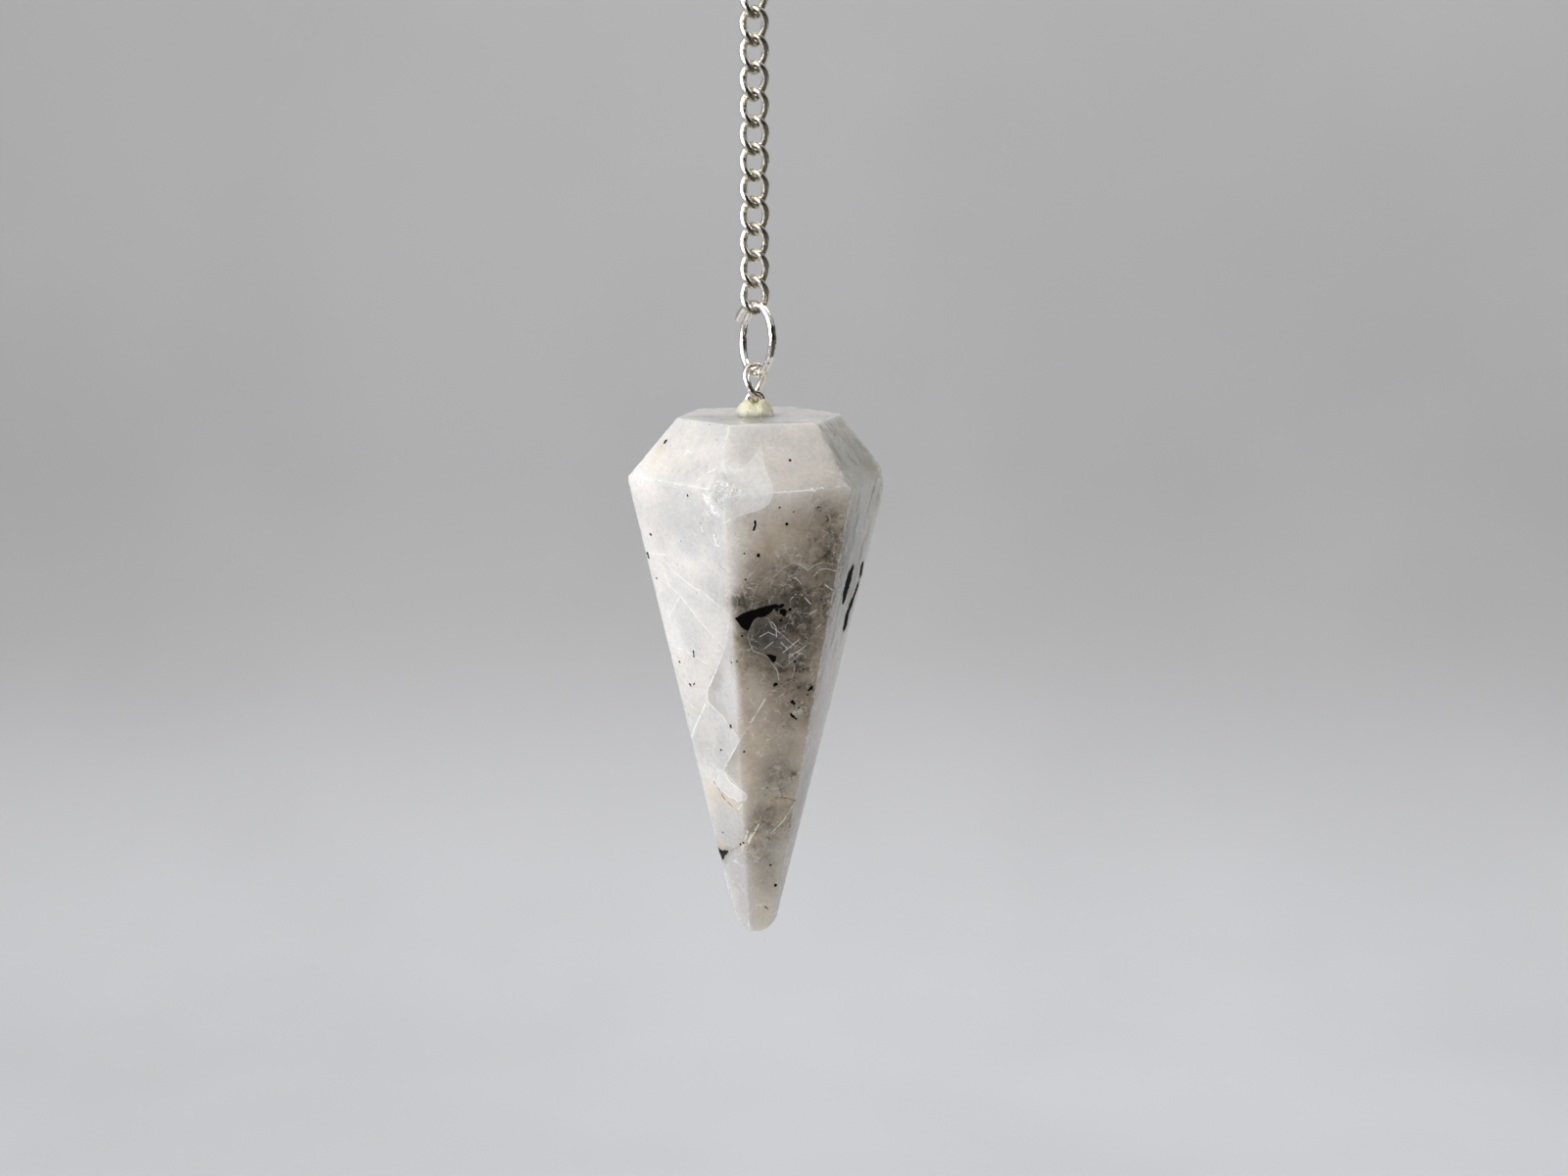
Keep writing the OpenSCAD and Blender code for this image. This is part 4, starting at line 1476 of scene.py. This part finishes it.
class StoneFinish(Finish):
    # milky moonstone: each method lays one kind of mark over the colour so far
    def __init__(self):
        super().__init__("milkyMoonstone")
        self.place = self.spot()
        self.level = self.upOf(self.place)
        self.drift = self.warped(self.place, 0.30, 2.4)
        self.tremble = self.warped(self.place, 1.6, 0.30)
        self.shake = self.jitter(self.place, 5.0)
        self.fine = self.cloud(self.tremble, 1.5, 5.0, 0.62)
        self.layMilk()
        self.layBeige()
        self.layGlow()
        self.layStreaks()
        self.laySmoke()
        self.layVeins()
        self.layPlates()
        self.layStrokes()
        self.layBlack()
        self.layWear()
        self.feed("Base Color", self.colour)
        self.polish()

    def lay(self, share, tint):
        # a tint is a colour of stoneLook, by name, or the output of a node
        tint = stoneLook[tint] if isinstance(tint, str) else tint
        self.colour = self.mixed(share, self.colour, tint)

    def layMilk(self):
        # slow grey clouds, with painted shade dimming them towards the tip
        clouds = self.cloud(self.drift, 0.22, 6.0, 0.55)
        milk = self.mixed(self.fade(clouds, 0.40, 0.64), stoneLook["milk"], stoneLook["milkGrey"])
        self.colour = self.dimmed(milk, self.fade(self.level, -82.0, -50.0, stoneLook["lowShade"], 1.0))
        self.lay(self.share("sides"), "side")

    def layBeige(self):
        # the front sides, as far as the flame's rim
        clouds = self.fade(self.cloud(self.drift, 0.34, 6.0, 0.6), 0.36, 0.66)
        warm = self.mixed(clouds, stoneLook["beige"], stoneLook["paleBeige"])
        warm = self.mixed(self.fade(self.level, -62.0, -76.0), warm, stoneLook["lowBeige"])
        flame = self.plus(self.share("flameGap"), self.times(self.centred(self.fine), 0.2))
        beyond = self.fade(flame, -0.03, 0.04)
        self.lay(self.times(self.share("front"), beyond), warm)
        self.lay(self.times(self.share("crownFront"), beyond, 0.30), warm)
        self.lay(self.times(self.share("warm"), self.fade(self.share("diamondGap"), 0.0, 0.1)), warm)

    def layGlow(self):
        # painted light and shade at the lost edges, dense white with painted light on the upper left, and
        # cool haze with painted shadow round the pit
        self.lay(self.share("paintedEdgeLight"), "milk")
        self.lay(self.share("paintedEdgeShade"), "hazeAndShade")
        self.lay(self.times(self.share("chalkAndPaintedLight"), self.fade(self.fine, 0.35, 0.60, 0.5, 1.0)), "chalkAndPaintedLight")
        self.lay(self.times(self.share("hazeAndShade"), self.fade(self.fine, 0.36, 0.62, 0.4, 1.0)), "hazeAndShade")

    def layStreaks(self):
        # upright streaks down the right side, slanting ones above it
        upright = self.turned(self.warped(self.place, 0.5, 0.9), (0, 0, 0), (1.1, 1.1, 0.16))
        wisps = self.fade(self.cloud(upright, 1.0, 4.0, 0.6), 0.46, 0.68)
        streaked = self.times(self.share("right"), self.fade(self.level, -70.0, -54.0, 0.05, 0.75), wisps)
        slanting = self.turned(self.warped(self.place, 0.5, 1.4), (0, 40, 0), (1.0, 1.0, 0.3))
        slant = self.fade(self.cloud(slanting, 1.0, 6.0, 0.65), 0.44, 0.66, 0.0, 0.55)
        slanted = self.times(self.share("crownRight"), slant, self.fade(self.level, -44.9, -43.2, 0.25, 1.0))
        self.lay(self.most(streaked, slanted), "streak")

    def laySmoke(self):
        # smoke, with painted reflection streaks on the table, and pale and dark threads in it
        puffs = self.cloud(self.warped(self.place, 0.7, 1.8), 0.55, 7.0, 0.64)
        smokeAndReflection = self.times(self.share("smokeAndReflection"), self.fade(puffs, 0.34, 0.60, 0.62, 1.28), limit=True)
        self.lay(smokeAndReflection, "smokeAndReflection")
        mottle = self.cloud(self.warped(self.place, 1.3, 0.9), 1.5, 6.0, 0.68)
        self.lay(self.times(self.fade(smokeAndReflection, 0.25, 0.95), self.fade(mottle, 0.47, 0.62)), "deepSmoke")
        deep = self.times(self.share("deep"), self.fade(mottle, 0.36, 0.58, 0.55, 1.15), limit=True)
        self.lay(deep, "deepSmoke")
        cold = self.times(self.share("crystalPatch"), self.fade(self.share("crystalGap"), 0.05, -0.05))
        self.lay(self.times(cold, self.fade(mottle, 0.60, 0.40, 0.0, 0.6)), "ice")
        for size, width, tint, strength in stoneLook["threads"]:
            bend = self.shifted(self.warped(self.place, 0.9, 1.2), (size * 31, 7, 3))
            bend = self.centred(self.cloud(bend, size, 2.0, 0.5))
            thread = self.fade(self.maths("ABSOLUTE", bend), width, 0.0)
            some = self.fade(self.cloud(self.shifted(self.place, (3, size * 17, 5)), 0.8, 2.0), 0.46, 0.60)
            some = self.times(some, self.fade(smokeAndReflection, 0.08, 0.5, 0.10, strength))
            self.lay(self.times(thread, some), tint)

    def layVeins(self):
        # fine veins everywhere, paler and darker
        veins = self.fade(self.cracks(self.warped(self.place, 0.9, 1.8), 0.42), 0.018, 0.0)
        self.lay(self.times(veins, self.fade(self.cloud(self.place, 0.5, 2.0), 0.48, 0.62), 0.45), "rim")
        veins = self.fade(self.cracks(self.warped(self.place, 1.3, 1.5), 0.75), 0.020, 0.0)
        patchy = self.fade(self.cloud(self.place, 0.7, 2.0), 0.54, 0.66, 0.0, 0.28)
        self.lay(self.times(veins, patchy), "smokeAndReflection")

    def layPlates(self):
        # the cleavage plates' soft inner shade and crisp rim
        tones = {"chalkAndPaintedLight": 0.0, "smokeAndReflection": 0.0}
        rims = 0.0
        wobble = self.times(self.centred(self.cloud(self.place, 1.8, 3.0)), 0.08)
        for plate in stoneMarks["plates"]:
            gap = self.plus(self.share(plate["name"] + "Gap"), wobble)
            patch = self.share(plate["name"] + "Patch")
            inside = self.times(self.fade(gap, 0.04, -0.04), self.fade(gap, -plate["fade"], 0.0))
            tint = "chalkAndPaintedLight" if plate["tone"] > 0 else "smokeAndReflection"
            tones[tint] = self.plus(tones[tint], self.times(inside, patch, abs(plate["tone"]) * 3.0))
            near = self.fade(self.maths("ABSOLUTE", gap), 0.085, 0.020, 0.0, plate["rim"] * 1.25)
            rims = self.most(rims, self.times(near, patch))
        for tint, tone in tones.items():
            self.lay(self.maths("MINIMUM", tone, 0.8), tint)
        broken = self.fade(self.cloud(self.place, 1.4, 4.0, 0.65), 0.34, 0.52, 0.15, 1.0)
        self.lay(self.times(rims, broken, limit=True), "rim")

    def layStrokes(self):
        # stains, white and brown lines, and painted glints on the breaks round the pit
        self.lay(self.times(self.share("stain"), self.fade(self.fine, 0.32, 0.62, 0.35, 1.0)), "tan")
        push = self.scaled(self.shake, 2.0)
        broken = self.fade(self.cloud(self.place, 2.4, 3.0), 0.36, 0.52)
        self.lay(self.times(self.fade(self.strokeReach("white", push), 1.6, 0.7), broken, 0.8), "rim")
        # painted highlights: glints laid along the breaks
        ragged = self.fade(self.cloud(self.place, 4.0, 3.0, 0.7), 0.36, 0.48)
        glint = self.fade(self.strokeReach("glint", self.scaled(self.shake, 3.0)), 1.3, 0.8)
        self.lay(self.times(glint, ragged), "glint")
        self.lay(self.times(self.fade(self.strokeReach("brown", push), 1.7, 0.6), broken, 0.75), "brown")

    def layBlack(self):
        # black inclusions with a soft halo, specks and rare dust
        shapes = self.plus(self.share("blackShape"), self.times(self.centred(self.fine), 0.35))
        self.lay(self.fade(shapes, 0.60, 0.0, 0.0, 0.45), "smokeAndReflection")
        dots = self.fade(self.strokeReach("black", self.scaled(self.shake, 1.6)), 1.35, 0.85)
        self.ink = self.most(self.fade(shapes, 0.05, -0.03), dots)
        self.lay(self.ink, "ink")
        dust = self.fade(self.grains(self.place, 1.1), 0.075, 0.045)
        self.lay(self.times(dust, self.fade(self.cloud(self.place, 0.8, 1.0), 0.56, 0.60, 0.0, 0.8)), "ink")

    def layWear(self):
        # pale worn edges, and a fine speckle over everything
        markShare = self.times(self.fade(self.share("edge"), 0.16, 0.02), self.fade(self.fine, 0.40, 0.58))
        self.lay(self.times(markShare, self.without(self.share("calm")), 0.45), "rim")
        speckle = self.fade(self.cloud(self.tremble, 3.5, 4.0, 0.7), 0.30, 0.70, 0.93, 1.05)
        self.colour = self.dimmed(self.colour, speckle)

    def polish(self):
        # matt over the ink of the right side; the broken pit has grain under a coat
        rough = self.fade(self.cloud(self.place, 1.2, 4.0), 0.35, 0.70, 0.10, 0.20)
        self.feed("Roughness", self.most(rough, self.times(self.ink, self.share("right"), 0.9)))
        broken = self.times(self.share("broken"), self.fade(self.cloud(self.place, 1.3, 3.0), 0.34, 0.50))
        self.feed("Coat Weight", self.fade(broken, 0.15, 0.6))
        cells = self.grains(self.warped(self.place, 2.0, 0.3), 1.5)
        grain = self.times(self.plus(cells, self.cloud(self.place, 2.6, 1.0)), self.times(broken, 6.0))
        sweep = self.cloud(self.turned(self.place, (15, 0, 30), (9, 9, 1.2)), 1.0, 3.0)
        relief = self.bumped(self.plus(self.times(sweep, 0.07), grain), 0.06)
        self.feed("Normal", relief)
        self.feed("Coat Normal", relief)
        self.fixed(
            Subsurface_Weight=0.92, Subsurface_Radius=(1.0, 0.92, 0.82), Subsurface_Scale=0.0045,
            IOR=1.53, Specular_IOR_Level=0.24, Coat_Roughness=0.04, Coat_IOR=1.6,
        )


def makeStone():
    shape = StoneMesh()
    shares = stoneShares(shape)
    wearStone(shape)
    piece = placeMesh("moonstone_drop", shape.work, StoneFinish().material, "drop", ["stone"])
    for name, values in shares.items():
        storeShare(piece, name, values)
    for face in piece.data.polygons:
        if shares["broken"][face.vertices[0]] > 0.4:
            face.use_smooth = False
    for edge in piece.data.edges:
        start, end = edge.vertices
        edge.use_edge_sharp = any(line[start] and line[end] for line in shape.lost)
    print("stone made:", len(piece.data.polygons), "faces")


# everything
makeCamera()
makeRoom()
makeCards()
makeLight()
makeChain()
makeEndRing()
makeJumpRing()
makeEyePin()
makeGlue()
makeStone()
bpy.context.scene.view_settings.view_transform = "Standard"
